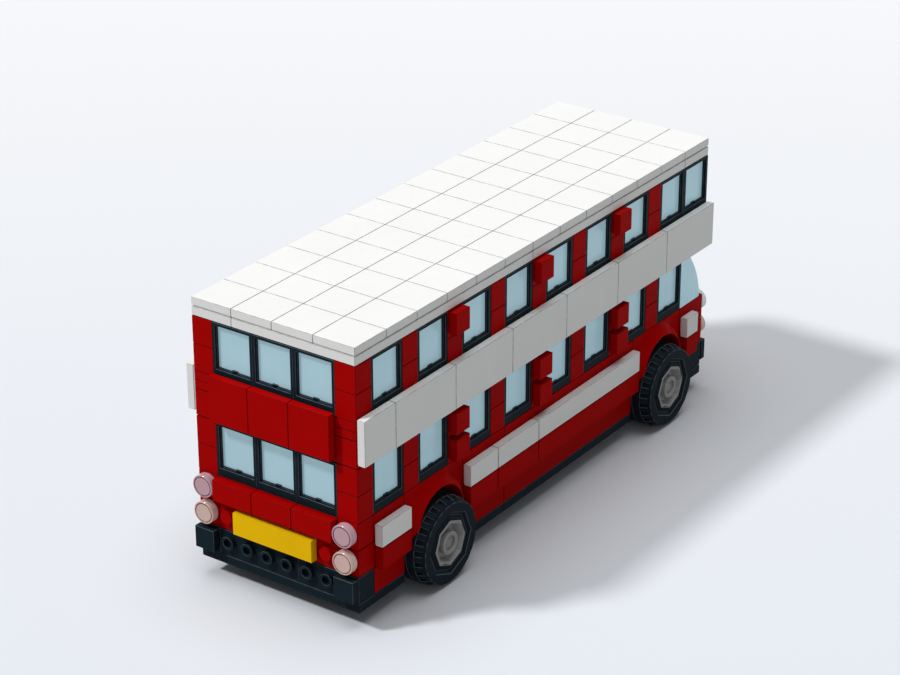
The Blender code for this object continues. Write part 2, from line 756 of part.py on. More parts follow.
def belt_end(name, facing, depth):
    z_low, z_high = layer(LOWER_HEAD_PLATES, FLOOR_PLATES)
    face_x = facing * BODY_LENGTH / 2
    x_low, x_high = sorted((face_x, face_x - facing * depth))
    y_edge = INSIDE - SEAT
    box = ((x_low, -y_edge, z_low), (x_high, y_edge, z_high))
    place(name, blocks_mesh([box]), PARTS, "red_plastic")


def band_range():
    """Bottom and top of the tiles, two studs high, round the belt."""
    stud_z = level(FLOOR_PLATES) - STUD_BELOW_TOP
    return stud_z - PITCH / 2, stud_z + PITCH * 3 / 2


def white_band(name, side):
    """White tiles along the whole side: one of two studs, then six of four studs."""
    z_low, z_high = band_range()
    x_range = (station(0), station(BODY_STUDS))
    y_range = (SIDE + SEAT, SIDE + TILE)
    low, high = side_box(x_range, y_range, (z_low, z_high), side)
    item = place(name, blocks_mesh([(low, high)]), PARTS, "white_plastic")
    joints = [station(stud) for stud in range(2, BODY_STUDS, 4)]
    margin_low = (low[0], low[1], z_low - OVERRUN)
    margin_high = (high[0], high[1], z_high + OVERRUN)
    cut(item, seams_mesh(joints, margin_low, margin_high, 0, (1, side * (SIDE + TILE)), -side), "joints")


def end_panel(name, facing):
    """Three red tiles of two by two studs across one end of the belt."""
    z_low, z_high = band_range()
    inner = facing * (BODY_LENGTH / 2 + SEAT)
    outer = facing * (BODY_LENGTH / 2 + TILE)
    x_low, x_high = sorted((inner, outer))
    low = (x_low, -INSIDE, z_low)
    high = (x_high, INSIDE, z_high)
    item = place(name, blocks_mesh([(low, high)]), PARTS, "red_plastic")
    joints = [-PITCH, PITCH]
    margin_low = (x_low, -INSIDE, z_low - OVERRUN)
    margin_high = (x_high, INSIDE, z_high + OVERRUN)
    cut(item, seams_mesh(joints, margin_low, margin_high, 1, (0, outer), -facing), "joints")


def full_slab(name, low_level, high_level, finish):
    z_low, z_high = layer(low_level, high_level)
    low = (station(0), -SIDE, z_low)
    high = (station(BODY_STUDS), SIDE, z_high)
    return place(name, blocks_mesh([(low, high)]), PARTS, finish)


def roof_tiles():
    """White tiles of two by two studs over the whole roof."""
    item = full_slab("roof_tiles", TILE_PLATES, TOP_PLATES, "white_plastic")
    z_top = level(TOP_PLATES)
    x_edge = BODY_LENGTH / 2 + OVERRUN
    y_edge = SIDE + OVERRUN
    across = [station(stud) for stud in range(2, BODY_STUDS, 2)]
    along = [stud * PITCH - SIDE for stud in range(2, BODY_WIDTH_STUDS, 2)]
    low = (-x_edge, -y_edge, z_top)
    high = (x_edge, y_edge, z_top)
    cut(item, seams_mesh(across, low, high, 0, (2, z_top), -1), "joints_across")
    cut(item, seams_mesh(along, low, high, 1, (2, z_top), -1), "joints_along")


def build():
    base_plate()
    for end, first in (("rear", REAR_ARCH_STUDS), ("front", FRONT_ARCH_STUDS)):
        for hand, side in (("right", -1), ("left", 1)):
            corner = end + "_" + hand
            axle_brick("axle_brick_" + corner, first, side)
            mudguard("mudguard_" + corner, first, side)
            tyre("tyre_" + corner, first, side)
            rim("rim_" + corner, first, side)
    arch_end = FRONT_ARCH_STUDS + ARCH_STUDS
    strips = (
        ("rear", REAR_WALL_STUDS, REAR_ARCH_STUDS),
        ("middle", REAR_ARCH_STUDS + ARCH_STUDS, FRONT_ARCH_STUDS),
        ("front", arch_end, FRONT_WALL_STUDS),
    )
    upper_blocks = (UPPER_SILL_PLATES + 2 * BRICK_PLATES,)
    lower_blocks = (SILL_PLATES + BRICK_PLATES, SILL_PLATES + 2 * BRICK_PLATES)
    for hand, side in (("right", -1), ("left", 1)):
        lower_wall("lower_wall_" + hand, side)
        name = "lower_windows_" + hand
        window_side(name, 0, SCREEN_STUDS, SILL_PLATES, LOWER_WINDOW_STUDS, side, lower_blocks)
        belt_side("belt_" + hand, side)
        white_band("white_band_" + hand, side)
        name = "upper_windows_" + hand
        window_side(name, 0, BODY_STUDS, UPPER_SILL_PLATES, UPPER_WINDOW_STUDS, side, upper_blocks)
        for part, first, last in strips:
            white_strip("white_strip_" + part + "_" + hand, first, last, side)
    lamps = {
        "rear": ("pink_clear_plastic", "peach_clear_plastic"),
        "front": ("clear_plastic", "peach_clear_plastic"),
    }
    for end, facing, plate_finish in (("rear", -1, "yellow_plastic"), ("front", 1, "white_plastic")):
        end_skirt(end + "_skirt", facing)
        bumper(end + "_bumper", facing)
        end_tile("number_plate_" + end, facing, plate_finish)
        belt_end("belt_" + end, facing, WALL if facing < 0 else SCREEN_ROOF)
        end_panel(end + "_panel", facing)
        window_end("upper_windows_" + end, facing, UPPER_SILL_PLATES)
        for hand, side in (("right", -1), ("left", 1)):
            upper, lower = lamps[end]
            lamp("upper_lamp_" + end + "_" + hand, facing, side, SILL_PLATES, upper)
            lamp("lower_lamp_" + end + "_" + hand, facing, side, SILL_PLATES - BRICK_PLATES, lower)
    window_end("lower_windows_rear", -1, SILL_PLATES)
    windscreen("windscreen")
    full_slab("upper_floor", FLOOR_PLATES, UPPER_SILL_PLATES, "red_plastic")
    full_slab("roof_plates", ROOF_PLATES, TILE_PLATES, "white_plastic")
    roof_tiles()


clear_scene()
PARTS = new_collection("brick_double_decker_bus")
CUTTERS = new_collection("cutters")
build()
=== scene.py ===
# %% [markdown]
# A toy double decker bus, built from interlocking plastic bricks. The frame, with every piece's place and every
# joint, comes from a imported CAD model. This lesson dresses that frame: each wall becomes the separate bricks,
# tiles and window units it is made of, and each plastic gets its own finish. The frame is loaded first, because
# every later size is read from it or stated in its units.

# %% Load the frame
import itertools
import math

import bmesh
import bpy
from mathutils import Matrix, Vector


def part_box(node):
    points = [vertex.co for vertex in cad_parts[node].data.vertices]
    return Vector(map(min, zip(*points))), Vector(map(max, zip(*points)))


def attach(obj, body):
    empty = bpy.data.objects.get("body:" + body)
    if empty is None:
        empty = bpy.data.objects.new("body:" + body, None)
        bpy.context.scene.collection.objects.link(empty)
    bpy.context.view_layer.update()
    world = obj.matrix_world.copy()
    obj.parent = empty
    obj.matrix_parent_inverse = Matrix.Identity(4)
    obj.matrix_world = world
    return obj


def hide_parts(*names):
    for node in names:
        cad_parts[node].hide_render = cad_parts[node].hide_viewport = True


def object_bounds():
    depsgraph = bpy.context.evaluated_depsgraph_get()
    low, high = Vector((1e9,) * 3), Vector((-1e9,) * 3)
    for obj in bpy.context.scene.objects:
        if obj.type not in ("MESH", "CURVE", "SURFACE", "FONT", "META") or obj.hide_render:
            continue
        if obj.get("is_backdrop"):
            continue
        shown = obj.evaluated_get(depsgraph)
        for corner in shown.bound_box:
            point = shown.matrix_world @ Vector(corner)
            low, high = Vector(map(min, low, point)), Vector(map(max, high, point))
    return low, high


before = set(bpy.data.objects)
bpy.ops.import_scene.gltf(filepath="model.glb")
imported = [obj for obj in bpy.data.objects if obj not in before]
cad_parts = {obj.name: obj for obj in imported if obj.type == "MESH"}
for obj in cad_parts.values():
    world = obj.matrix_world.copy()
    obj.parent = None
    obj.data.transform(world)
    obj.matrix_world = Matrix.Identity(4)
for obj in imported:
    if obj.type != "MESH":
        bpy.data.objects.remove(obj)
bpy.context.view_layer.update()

# %% [markdown]
# Bricks of this kind follow one rule: a stud is 8 mm from the next, and five plates stand as high as two studs
# are long. Two small functions say this more plainly than millimetres do: one gives the place of a stud line
# along the bus, the other the height of a plate line. The plate lines that matter have names.

# %% Units of the brick system
MM = 0.001
STUD = 8.0 * MM
PLATE = STUD * 2 / 5
SEAT = 0.2 * MM
SIDE = 4 * STUD
HALF_LENGTH = 13 * STUD
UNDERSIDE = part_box("base_plate")[0].z
BRICK_PLATES, WINDOW_PLATES = 3, 6
BASE_TOP, MUDGUARD_FOOT, BUMPER_TOP, SKIRT_MIDDLE, STRIP_TOP, LOWER_SILL = 1, 3, 4, 7, 9, 10
LOWER_HEAD, BELT_TOP, UPPER_SILL, UPPER_HEAD, ROOF_TOP = 16, 19, 21, 27, 28
SIDES, ENDS = {"right": -1, "left": 1}, ("rear", "front")


def station(studs):
    """X of a stud line, counted from the rear."""
    return studs * STUD - HALF_LENGTH


def level(plates):
    """Z of a plate line, counted from the underside."""
    return UNDERSIDE + plates * PLATE


def layer(low, high):
    """Bottom and top of a layer of bricks, seated on the layer below."""
    return level(low) + SEAT, level(high)


def spans(joints):
    """Neighbouring pairs of a row of joints."""
    return list(zip(joints, joints[1:]))


print("top of the roof tiles at", round(level(ROOF_TOP + 1) / MM, 1), "mm")

# %% [markdown]
# A moulded brick never has a razor edge, and the eye finds the joints of a wall by the light on those edges. A
# Bevel modifier could round them, but hundreds of bricks share one mesh here, so the small flats are built in:
# eight corners of three points each give six faces, twelve narrow flats and eight tiny triangles. The flats carry
# a face attribute called rim, where the finishes paint edge lines: painted highlights where the edge colour is
# paler than the plastic, and painted shade in the seams where it is darker.

# %% A brick with eased edges
EASE, SMALL_EASE = 0.11 * MM, 0.08 * MM
JOINT = 0.08 * MM


def new_shape():
    """Empty mesh in the making, with its rim attribute."""
    bm = bmesh.new()
    bm.faces.layers.float.new("rim")
    return bm


def brick(bm, low, high, ease=EASE):
    """Closed block between two corners, with a narrow flat along each edge."""
    rim = bm.faces.layers.float["rim"]
    low, high = Vector(map(min, low, high)), Vector(map(max, low, high))
    middle, half = (low + high) / 2, (high - low) / 2
    point = {}
    for signs in itertools.product((-1, 1), repeat=3):
        for axis in range(3):
            reach = [half[i] - (0 if i == axis else ease) for i in range(3)]
            point[signs, axis] = bm.verts.new([middle[i] + signs[i] * reach[i] for i in range(3)])
        bm.faces.new([point[signs, axis] for axis in range(3)])[rim] = 1.0
    for axis in range(3):
        one, two = [i for i in range(3) if i != axis]
        for sign in (-1, 1):
            ring = []
            for a, b in ((-1, -1), (1, -1), (1, 1), (-1, 1)):
                signs = [sign] * 3
                signs[one], signs[two] = a, b
                ring.append(point[tuple(signs), axis])
            bm.faces.new(ring)
        for a, b in itertools.product((-1, 1), repeat=2):
            ring = []
            for sign, face in ((-1, one), (-1, two), (1, two), (1, one)):
                signs = [sign] * 3
                signs[one], signs[two] = a, b
                ring.append(point[tuple(signs), face])
            bm.faces.new(ring)[rim] = 1.0


print("edge flat:", round(EASE / MM, 2), "mm")

# %% [markdown]
# The same tiles and windows sit on four walls and on the roof. They could be modelled once and turned into place,
# but here each wall is a small rule that turns "along, up, out" into a point of the bus, so a piece is born where
# it belongs. A loft then joins rings of points into a closed skin. The upright edges of a tile are cut off as its
# upper edges are, so they catch the light in the same way.

# %% Walls, rings and lofts
WALLS = {
    "right": lambda along, up, out: (along, -SIDE - out, up),
    "left": lambda along, up, out: (along, SIDE + out, up),
    "rear": lambda along, up, out: (-HALF_LENGTH - out, along, up),
    "front": lambda along, up, out: (HALF_LENGTH + out, along, up),
    "roof": lambda along, up, out: (along, up, level(ROOF_TOP) + out),
    "underside": lambda along, up, out: (along, up, UNDERSIDE + out),
}
TILE_FOOT, TILE_GROOVE = 0.4 * MM, 0.3 * MM


def rectangle(wall, box, out, inset=0.0, cut=0.0):
    """Ring on a wall, with its corners cut off if asked; box is (along from, along to, up from, up to)."""
    a0, a1, b0, b1 = box[0] + inset, box[1] - inset, box[2] + inset, box[3] - inset
    places = ((a0, b0), (a1, b0), (a1, b1), (a0, b1))
    if cut:
        places = ((a0 + cut, b0), (a1 - cut, b0), (a1, b0 + cut), (a1, b1 - cut))
        places += ((a1 - cut, b1), (a0 + cut, b1), (a0, b1 - cut), (a0, b0 + cut))
    return [WALLS[wall](a, b, out) for a, b in places]


def loft(bm, rings, loop=False, rims=(), corners=False):
    """Skin through rings of equal count, closed by end faces or in a loop; rims are the bands marked as rim."""
    rim = bm.faces.layers.float["rim"]
    rows = [[bm.verts.new(point) for point in ring] for ring in rings]
    pairs = spans(rows) + ([(rows[-1], rows[0])] if loop else [])
    for index, (near, far) in enumerate(pairs):
        for k in range(len(near)):
            after = (k + 1) % len(near)
            face = bm.faces.new((near[k], near[after], far[after], far[k]))
            face[rim] = float(index in rims or (corners and k % 2 == 1))
    if not loop:
        bm.faces.new(rows[0])
        bm.faces.new(rows[-1])


def tile(bm, wall, box):
    """Smooth tile: a face with eased edges and cut corners over a slightly narrower foot."""
    box = (box[0] + JOINT, box[1] - JOINT, box[2] + JOINT, box[3] - JOINT)
    foot = SEAT + TILE_FOOT
    outline = [(SEAT, TILE_GROOVE), (foot, TILE_GROOVE), (foot, 0.0), (PLATE - EASE, 0.0), (PLATE, EASE)]
    loft(bm, [rectangle(wall, box, out, inset, EASE) for out, inset in outline], rims=(3,), corners=True)


def wall_brick(bm, wall, box):
    """Brick one stud deep behind the face of a wall, with half a joint left round it."""
    low = WALLS[wall](box[0] + JOINT, box[2] + JOINT, 0.0)
    brick(bm, low, WALLS[wall](box[1] - JOINT, box[3] - JOINT, -STUD))


print("walls:", ", ".join(WALLS))

# %% [markdown]
# All plastics here come from moulds, so they share their small faults: the colour drifts a little where the
# melt flowed, fine scratches cross the gloss, and the skin is very slightly wavy. That is one node group, built
# once and placed in each material with other values. It gives a colour, a roughness and a height. On the edge
# flats it mixes in a painted edge colour: a painted highlight where that colour is paler than the plastic, and
# painted shade in the seams where it is darker.

# %% Helpers for node trees
def new_tree(name, kind, inputs, outputs):
    """Node tree with sockets of (name, kind, start value if any), and its input and output nodes."""
    tree = bpy.data.node_groups.new(name, kind)
    for way, rows in (("INPUT", inputs), ("OUTPUT", outputs)):
        for label, what, *start in rows:
            socket = tree.interface.new_socket(label, in_out=way, socket_type="NodeSocket" + what)
            if start:
                socket.default_value = start[0]
    return tree, tree.nodes.new("NodeGroupInput"), tree.nodes.new("NodeGroupOutput")


def put(socket, value):
    """Link a socket into another, or set a plain value on it."""
    if isinstance(value, bpy.types.NodeSocket):
        socket.id_data.links.new(value, socket)
    else:
        socket.default_value = value


def feed(node, **values):
    """Put values on the named inputs of a node; an underscore stands for a space."""
    for label, value in values.items():
        put(node.inputs[label.replace("_", " ")], value)
    return node


def add(tree, kind, **values):
    """New node with its inputs fed; returns its outputs."""
    return feed(tree.nodes.new(kind), **values).outputs


def noise(tree, place, scale, detail=2.0, stretch=None):
    """Noise texture on a place, drawn out along one direction if stretch is given."""
    if stretch:
        place = add(tree, "ShaderNodeMapping", Vector=place, Scale=stretch)["Vector"]
    return add(tree, "ShaderNodeTexNoise", Vector=place, Scale=scale, Detail=detail)["Fac"]


def spread(tree, value, low, high, to_low=0.0, to_high=1.0):
    """Map a value from one range to another, held inside it."""
    ends = {"From Min": low, "From Max": high, "To Min": to_low, "To Max": to_high}
    return add(tree, "ShaderNodeMapRange", Value=value, **ends)["Result"]


def operate(tree, kind, operation, *values, **named):
    """Math node of a kind on sockets or plain values; returns its outputs."""
    node = tree.nodes.new(kind)
    node.operation = operation
    for socket, value in zip(node.inputs, values):
        put(socket, value)
    return feed(node, **named).outputs


def calculate(tree, operation, *values):
    """Math node on sockets or numbers."""
    return operate(tree, "ShaderNodeMath", operation, *values)["Value"]


def scaled(tree, value, factor):
    """Value times a factor."""
    return calculate(tree, "MULTIPLY", value, factor)


def blend(tree, share, first, second):
    """Mix node on two colours."""
    node = tree.nodes.new("ShaderNodeMix")
    node.data_type = "RGBA"
    for index, value in ((0, share), (6, first), (7, second)):
        put(node.inputs[index], value)
    return node.outputs[2]


print("helpers: add, noise, spread, calculate, scaled, blend")

# %% [markdown]
# The skin reads six noises. Clouds and flow move the colour, a third noise breaks the painted edge lines into
# dashes, two long thin noises at right angles become scratches where they peak, and waves bend the surface. Each
# band below is the part of a noise that counts.

# %% Node group: moulded skin
GREY = (0.5, 0.5, 0.5, 1.0)
SKIN_INPUTS = (  # name, kind, start value
    ("Place", "Vector", (0.0, 0.0, 0.0)),
    ("Rim", "Float", 0.0),
    ("Colour", "Color", GREY),
    ("Rim Colour", "Color", GREY),
    ("Rim Wear", "Float", 0.5),
    ("Drift", "Float", 0.05),
    ("Roughness", "Float", 0.3),
    ("Scratches", "Float", 0.1),
)
SKIN_OUTPUTS = (("Colour", "Color"), ("Roughness", "Float"), ("Height", "Float"))
SKIN_NOISES = (  # scale, detail, stretch
    (38.0, 3.0, None),
    (240.0, 2.0, (1.0, 1.0, 0.25)),
    (420.0, 2.0, None),
    (500.0, 1.0, (0.06, 1.0, 1.0)),
    (460.0, 1.0, (1.0, 0.5, 0.07)),
    (300.0, 2.0, None),
)
CLOUD_SHARE, FLOW_SHARE, WAVE_SHARE, SCRATCH_SHARE, HAZE = 0.7, 0.3, 0.8, 0.2, 0.05
TONE_BAND, SCRATCH_BAND, HAZE_BAND = (0.3, 0.7), (0.68, 0.74), (0.4, 0.65)
EDGE_BREAKUP_BAND, LEAST_EDGE_PAINT = (0.35, 0.6), 0.55


def build_skin():
    """Group that makes moulded plastic of a plain colour."""
    group, given, made = new_tree("moulded_skin", "ShaderNodeTree", SKIN_INPUTS, SKIN_OUTPUTS)
    take = given.outputs
    clouds, flow, edge_breakup, one, two, waves = [noise(group, take["Place"], *row) for row in SKIN_NOISES]
    tone = calculate(group, "ADD", scaled(group, clouds, CLOUD_SHARE), scaled(group, flow, FLOW_SHARE))
    limits = [calculate(group, operation, 1.0, take["Drift"]) for operation in ("SUBTRACT", "ADD")]
    gain = spread(group, tone, *TONE_BAND, *limits)
    drifted = operate(group, "ShaderNodeVectorMath", "SCALE", take["Colour"], Scale=gain)["Vector"]
    # The edge flats take the painted edge colour, broken up by a noise: painted highlights on dark plastics,
    # painted seam shade on pale ones.
    broken_edge_paint = scaled(group, take["Rim"], spread(group, edge_breakup, *EDGE_BREAKUP_BAND, LEAST_EDGE_PAINT))
    painted_edge_share = scaled(group, broken_edge_paint, take["Rim Wear"])
    marks = calculate(group, "MAXIMUM", spread(group, one, *SCRATCH_BAND), spread(group, two, *SCRATCH_BAND))
    haze = scaled(group, spread(group, clouds, *HAZE_BAND), HAZE)
    rough = calculate(group, "MULTIPLY_ADD", marks, take["Scratches"], take["Roughness"])
    relief = (scaled(group, waves, WAVE_SHARE), scaled(group, marks, SCRATCH_SHARE))
    feed(made, Colour=blend(group, painted_edge_share, drifted, take["Rim Colour"]))
    feed(made, Roughness=calculate(group, "ADD", rough, haze), Height=calculate(group, "SUBTRACT", *relief))
    return group


SKIN = build_skin()
print("moulded skin sockets:", [item.name for item in SKIN.interface.items_tree])

# %% [markdown]
# A material is the Principled shader with the group in front of it. Object coordinates keep the pattern fixed to
# the piece. Hard plastic of this kind is glossy but not mirror-like, and its specular level is held low so that
# the red stays deep. The clear plastics add a plain transmission weight, because light passes through them, and a
# faint painted glow of their own tint: an emission that brightens the panes and lamp lenses evenly.

# %% Plastics
PLASTIC_BUMP, GLOSS_IOR = (0.35, 0.02 * MM), 1.5
CLEAR_VALUES = {"drift": 0.03, "roughness": 0.16, "specular": 0.3, "scratches": 0.08}
CLEAR_TRANSMISSION = 0.18
# The edge colours are painted light and shade: paler than the plastic on black and grey, as painted highlights,
# darker on red, white and yellow, as painted shade in the seams.
PLASTICS = (  # name, colour, painted edge colour, painted edge share, drift, roughness, specular level
    ("red_plastic", (0.385, 0.001, 0.001), (0.10, 0.001, 0.001), 0.9, 0.05, 0.34, 0.012),
    ("white_plastic", (0.79, 0.79, 0.78), (0.16, 0.16, 0.16), 0.9, 0.02, 0.34, 0.1),
    ("black_plastic", (0.0065, 0.0155, 0.022), (0.11, 0.125, 0.14), 0.9, 0.12, 0.36, 0.03),
    ("yellow_plastic", (0.86, 0.51, 0.001), (0.40, 0.23, 0.001), 0.8, 0.04, 0.32, 0.03),
    ("grey_plastic", (0.30, 0.30, 0.295), (0.40, 0.40, 0.40), 0.6, 0.05, 0.36, 0.1),
)
# Blue clear edges are paler, a painted highlight; the lamp plastics' edges are darker, painted shade in their ring
# groove. The glow is painted light as well.
CLEAR_PLASTICS = (  # name, colour, painted edge colour, painted edge share, painted glow
    ("blue_clear_plastic", (0.28, 0.42, 0.475), (0.42, 0.58, 0.64), 0.5, 0.5),
    ("pink_clear_plastic", (0.53, 0.33, 0.375), (0.06, 0.012, 0.02), 1.0, 0.1),
    ("peach_clear_plastic", (0.62, 0.44, 0.39), (0.08, 0.015, 0.01), 1.0, 0.1),
    ("clear_plastic", (0.70, 0.76, 0.78), (0.20, 0.24, 0.26), 1.0, 0.1),
)


def start_material(name):
    """New material with its tree, its shader, its Object coordinates and its rim mask."""
    material = bpy.data.materials.new(name)
    material.use_nodes = True
    tree = material.node_tree
    rim = tree.nodes.new("ShaderNodeAttribute")
    rim.attribute_name = "rim"
    place = tree.nodes.new("ShaderNodeTexCoord").outputs["Object"]
    return material, tree, tree.nodes["Principled BSDF"], place, rim.outputs["Fac"]


def bump(tree, height, strength, depth):
    """Normal made from a height."""
    return add(tree, "ShaderNodeBump", Height=height, Strength=strength, Distance=depth)["Normal"]


def plastic(name, colour, painted_edge_colour, painted_edge_share, drift, roughness, specular, scratches=0.12):
    """Material of one moulded plastic."""
    material, tree, shader, place, rim = start_material(name)
    skin = tree.nodes.new("ShaderNodeGroup")
    skin.node_tree = SKIN
    feed(skin, Place=place, Rim=rim, Colour=(*colour, 1.0), Rim_Colour=(*painted_edge_colour, 1.0))
    feed(skin, Rim_Wear=painted_edge_share, Drift=drift, Roughness=roughness, Scratches=scratches)
    made = skin.outputs
    feed(shader, Base_Color=made["Colour"], Roughness=made["Roughness"])
    feed(shader, Normal=bump(tree, made["Height"], *PLASTIC_BUMP))
    feed(shader, Specular_IOR_Level=specular, IOR=GLOSS_IOR)
    return material


def clear(name, colour, painted_edge_colour, painted_edge_share, painted_glow):
    """Tinted clear plastic: it lets some light through, and a painted glow of its own tint brightens it."""
    material = plastic(name, colour, painted_edge_colour, painted_edge_share, **CLEAR_VALUES)
    tree = material.node_tree
    tint = next(node for node in tree.nodes if node.type == "GROUP").outputs["Colour"]
    # Painted glow: an emission in the plastic's own tint, not a lamp.
    shader = feed(tree.nodes["Principled BSDF"], Emission_Color=tint, Emission_Strength=painted_glow)
    feed(shader, Transmission_Weight=CLEAR_TRANSMISSION)
    return material


FINISHES = {row[0]: plastic(*row) for row in PLASTICS}
FINISHES.update({row[0]: clear(*row) for row in CLEAR_PLASTICS})
print(len(FINISHES), "plastics")

# %% [markdown]
# Tyre rubber is matt and a little chalky: dust stays in its pores. It has its own small tree, with two sizes of
# noise for the bump and a dust mask that lifts both colour and roughness. The edge flats of the tyre and its lugs
# take a pale colour, a painted highlight.

# %% Rubber
CLEAN_RUBBER, DUSTY_RUBBER = (0.0075, 0.0140, 0.0195, 1.0), (0.013, 0.020, 0.026, 1.0)
RUBBER_EDGE_HIGHLIGHT = (0.13, 0.145, 0.155, 1.0)
DUST_NOISE, DUST_BAND, MOST_DUST, RUBBER_EDGE_HIGHLIGHT_SHARE = (160.0, 4.0), (0.42, 0.72), 0.5, 0.8
RUBBER_ROUGHNESS, RUBBER_BUMP, RUBBER_SPECULAR = (0.55, 0.8), (0.5, 0.03 * MM), 0.04
FINE_PORES, COARSE_PORES = (2600.0, 3.0), (700.0, 2.0)


def rubber(name):
    """Material of the tyres."""
    material, tree, shader, place, rim = start_material(name)
    dust = scaled(tree, spread(tree, noise(tree, place, *DUST_NOISE), *DUST_BAND), MOST_DUST)
    colour = blend(tree, dust, CLEAN_RUBBER, DUSTY_RUBBER)
    # Painted highlight: the edge flats of the tyre and its lugs turn pale.
    colour = blend(tree, scaled(tree, rim, RUBBER_EDGE_HIGHLIGHT_SHARE), colour, RUBBER_EDGE_HIGHLIGHT)
    grain = calculate(tree, "ADD", noise(tree, place, *FINE_PORES), noise(tree, place, *COARSE_PORES))
    feed(shader, Base_Color=colour, Roughness=spread(tree, dust, 0.0, 1.0, *RUBBER_ROUGHNESS))
    feed(shader, Normal=bump(tree, grain, *RUBBER_BUMP), Specular_IOR_Level=RUBBER_SPECULAR)
    return material


FINISHES["tyre_rubber"] = rubber("tyre_rubber")
print("finishes:", ", ".join(FINISHES))

# %% [markdown]
# Most of the bus repeats: pillars every three studs, window units, roof tiles, studs, tubes. A Geometry Nodes
# tree that lays out one unit in a field does all of them. It puts the unit on a line of points, puts that row on
# a second line, and turns the instances into a real mesh, because instances don't survive the export.

# %% Geometry Nodes: a field of pieces
WAYS = ("Along", "Across")
GEOMETRY, MATERIAL = ("Geometry", "Geometry"), ("Material", "Material")


def finish_tree(tree, given, instances, result):
    """End a tree in real geometry with its material."""
    real = add(tree, "GeometryNodeRealizeInstances", Geometry=instances)["Geometry"]
    material = given.outputs["Material"]
    painted = add(tree, "GeometryNodeSetMaterial", Geometry=real, Material=material)["Geometry"]
    feed(result, Geometry=painted)


def build_field():
    """Tree that repeats a unit along one direction and then across another."""
    sockets = [(what + way, kind) for way in WAYS for what, kind in (("Count ", "Int"), ("Step ", "Vector"))]
    sockets = (GEOMETRY, *sockets, MATERIAL)
    tree, given, result = new_tree("field_of_pieces", "GeometryNodeTree", sockets, (GEOMETRY,))
    take = given.outputs
    shape = take["Geometry"]
    for way in WAYS:
        line = add(tree, "GeometryNodeMeshLine", Count=take["Count " + way], Offset=take["Step " + way])
        shape = add(tree, "GeometryNodeInstanceOnPoints", Points=line["Mesh"], Instance=shape)["Instances"]
    finish_tree(tree, given, shape, result)
    return tree


def new_object(name, data):
    """Object in the scene."""
    item = bpy.data.objects.new(name, data)
    bpy.context.scene.collection.objects.link(item)
    return item


def shape_object(name, bm):
    """Object of a finished shape, its faces turned outwards."""
    bmesh.ops.recalc_face_normals(bm, faces=bm.faces)
    mesh = bpy.data.meshes.new(name)
    bm.to_mesh(mesh)
    bm.free()
    return new_object(name, mesh)


def settle(item, finish, nodes, body="bus_body"):
    """Give a piece its finish, its body and the CAD nodes it stands for."""
    if not item.data.materials:
        item.data.materials.append(FINISHES[finish])
    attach(item, body)
    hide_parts(*nodes)
    print(item.name, len(item.data.polygons), "faces")


def piece(name, bm, finish, node, body="bus_body"):
    """Settle a finished shape that stands for one CAD node."""
    settle(shape_object(name, bm), finish, [node], body)


def repeat(name, bm, finish, nodes, body, tree, values):
    """Run a tree on one unit and settle the result, a plain mesh."""
    item = shape_object(name, bm)
    modifier = item.modifiers.new(tree.name, "NODES")
    modifier.node_group = tree
    sockets = {s.name: s.identifier for s in tree.interface.items_tree if s.in_out == "INPUT"}
    for label, value in {**values, "Material": FINISHES[finish]}.items():
        modifier[sockets[label]] = value
    graph = bpy.context.evaluated_depsgraph_get()
    grown = bpy.data.meshes.new_from_object(item.evaluated_get(graph))
    item.modifiers.clear()
    item.data = grown
    settle(item, finish, nodes, body)


FIELD = build_field()


def field(name, bm, finish, along, across=(1, (0.0, 0.0, 0.0)), nodes=()):
    """Field of one unit: (count, step) along and across."""
    values = {"Count Along": along[0], "Step Along": along[1], "Count Across": across[0], "Step Across": across[1]}
    repeat(name, bm, finish, nodes, "bus_body", FIELD, values)


# %% [markdown]
# The roof is thirteen by four smooth tiles of two studs on a layer of long plates. One tile and the field tree
# make the top layer; the plates below are few and unequal, so they are placed one by one. Their joints show as
# thin lines on the edge of the roof.

# %% Roof
def slabs(name, finish, node, rows):
    """Plates with joints all round; each row is (stud lines along, joints across, bottom, top)."""
    bm = new_shape()
    for joints, across, bottom, top in rows:
        for first, last in spans(joints):
            for y_low, y_high in spans(across):
                low = (station(first) + JOINT, y_low + JOINT, bottom)
                brick(bm, low, (station(last) - JOINT, y_high - JOINT, top))
    piece(name, bm, finish, node)


unit = new_shape()
tile(unit, "roof", (station(0), station(2), -SIDE, -SIDE + 2 * STUD))
field("roof_tile_field", unit, "white_plastic", (13, (2 * STUD, 0, 0)), (4, (0, 2 * STUD, 0)), ["roof_tiles"])

rows = [((0, 12, 24, 26), (-SIDE, 2 * STUD, SIDE), *layer(UPPER_HEAD, ROOF_TOP))]
slabs("roof_plate_layer", "white_plastic", "roof_plates", rows)

# %% [markdown]
# Red pillars of two stacked bricks stand every three studs along both decks. On both sides they are a field of
# eight by two bricks. Three of them carry small smooth tiles on their faces.

# %% Pillars
for deck, sill, tops in (("lower", LOWER_SILL, (13, 16)), ("upper", UPPER_SILL, (27,))):
    for side in SIDES:
        unit = new_shape()
        wall_brick(unit, side, (station(0), station(1), level(sill), level(sill + BRICK_PLATES)))
        steps = ((8, (3 * STUD, 0, 0)), (2, (0, 0, BRICK_PLATES * PLATE)))
        nodes = [f"{deck}_windows_{side}"]
        field(f"{deck}_pillar_bricks_{side}", unit, "red_plastic", *steps, nodes)
        unit = new_shape()
        top = level(tops[0])
        tile(unit, side, (station(6) + SEAT, station(7) - SEAT, top - STUD, top - SEAT))
        steps = ((3, (6 * STUD, 0, 0)), (len(tops), (0, 0, BRICK_PLATES * PLATE)))
        field(f"{deck}_pillar_tiles_{side}", unit, "red_plastic", *steps, nodes)

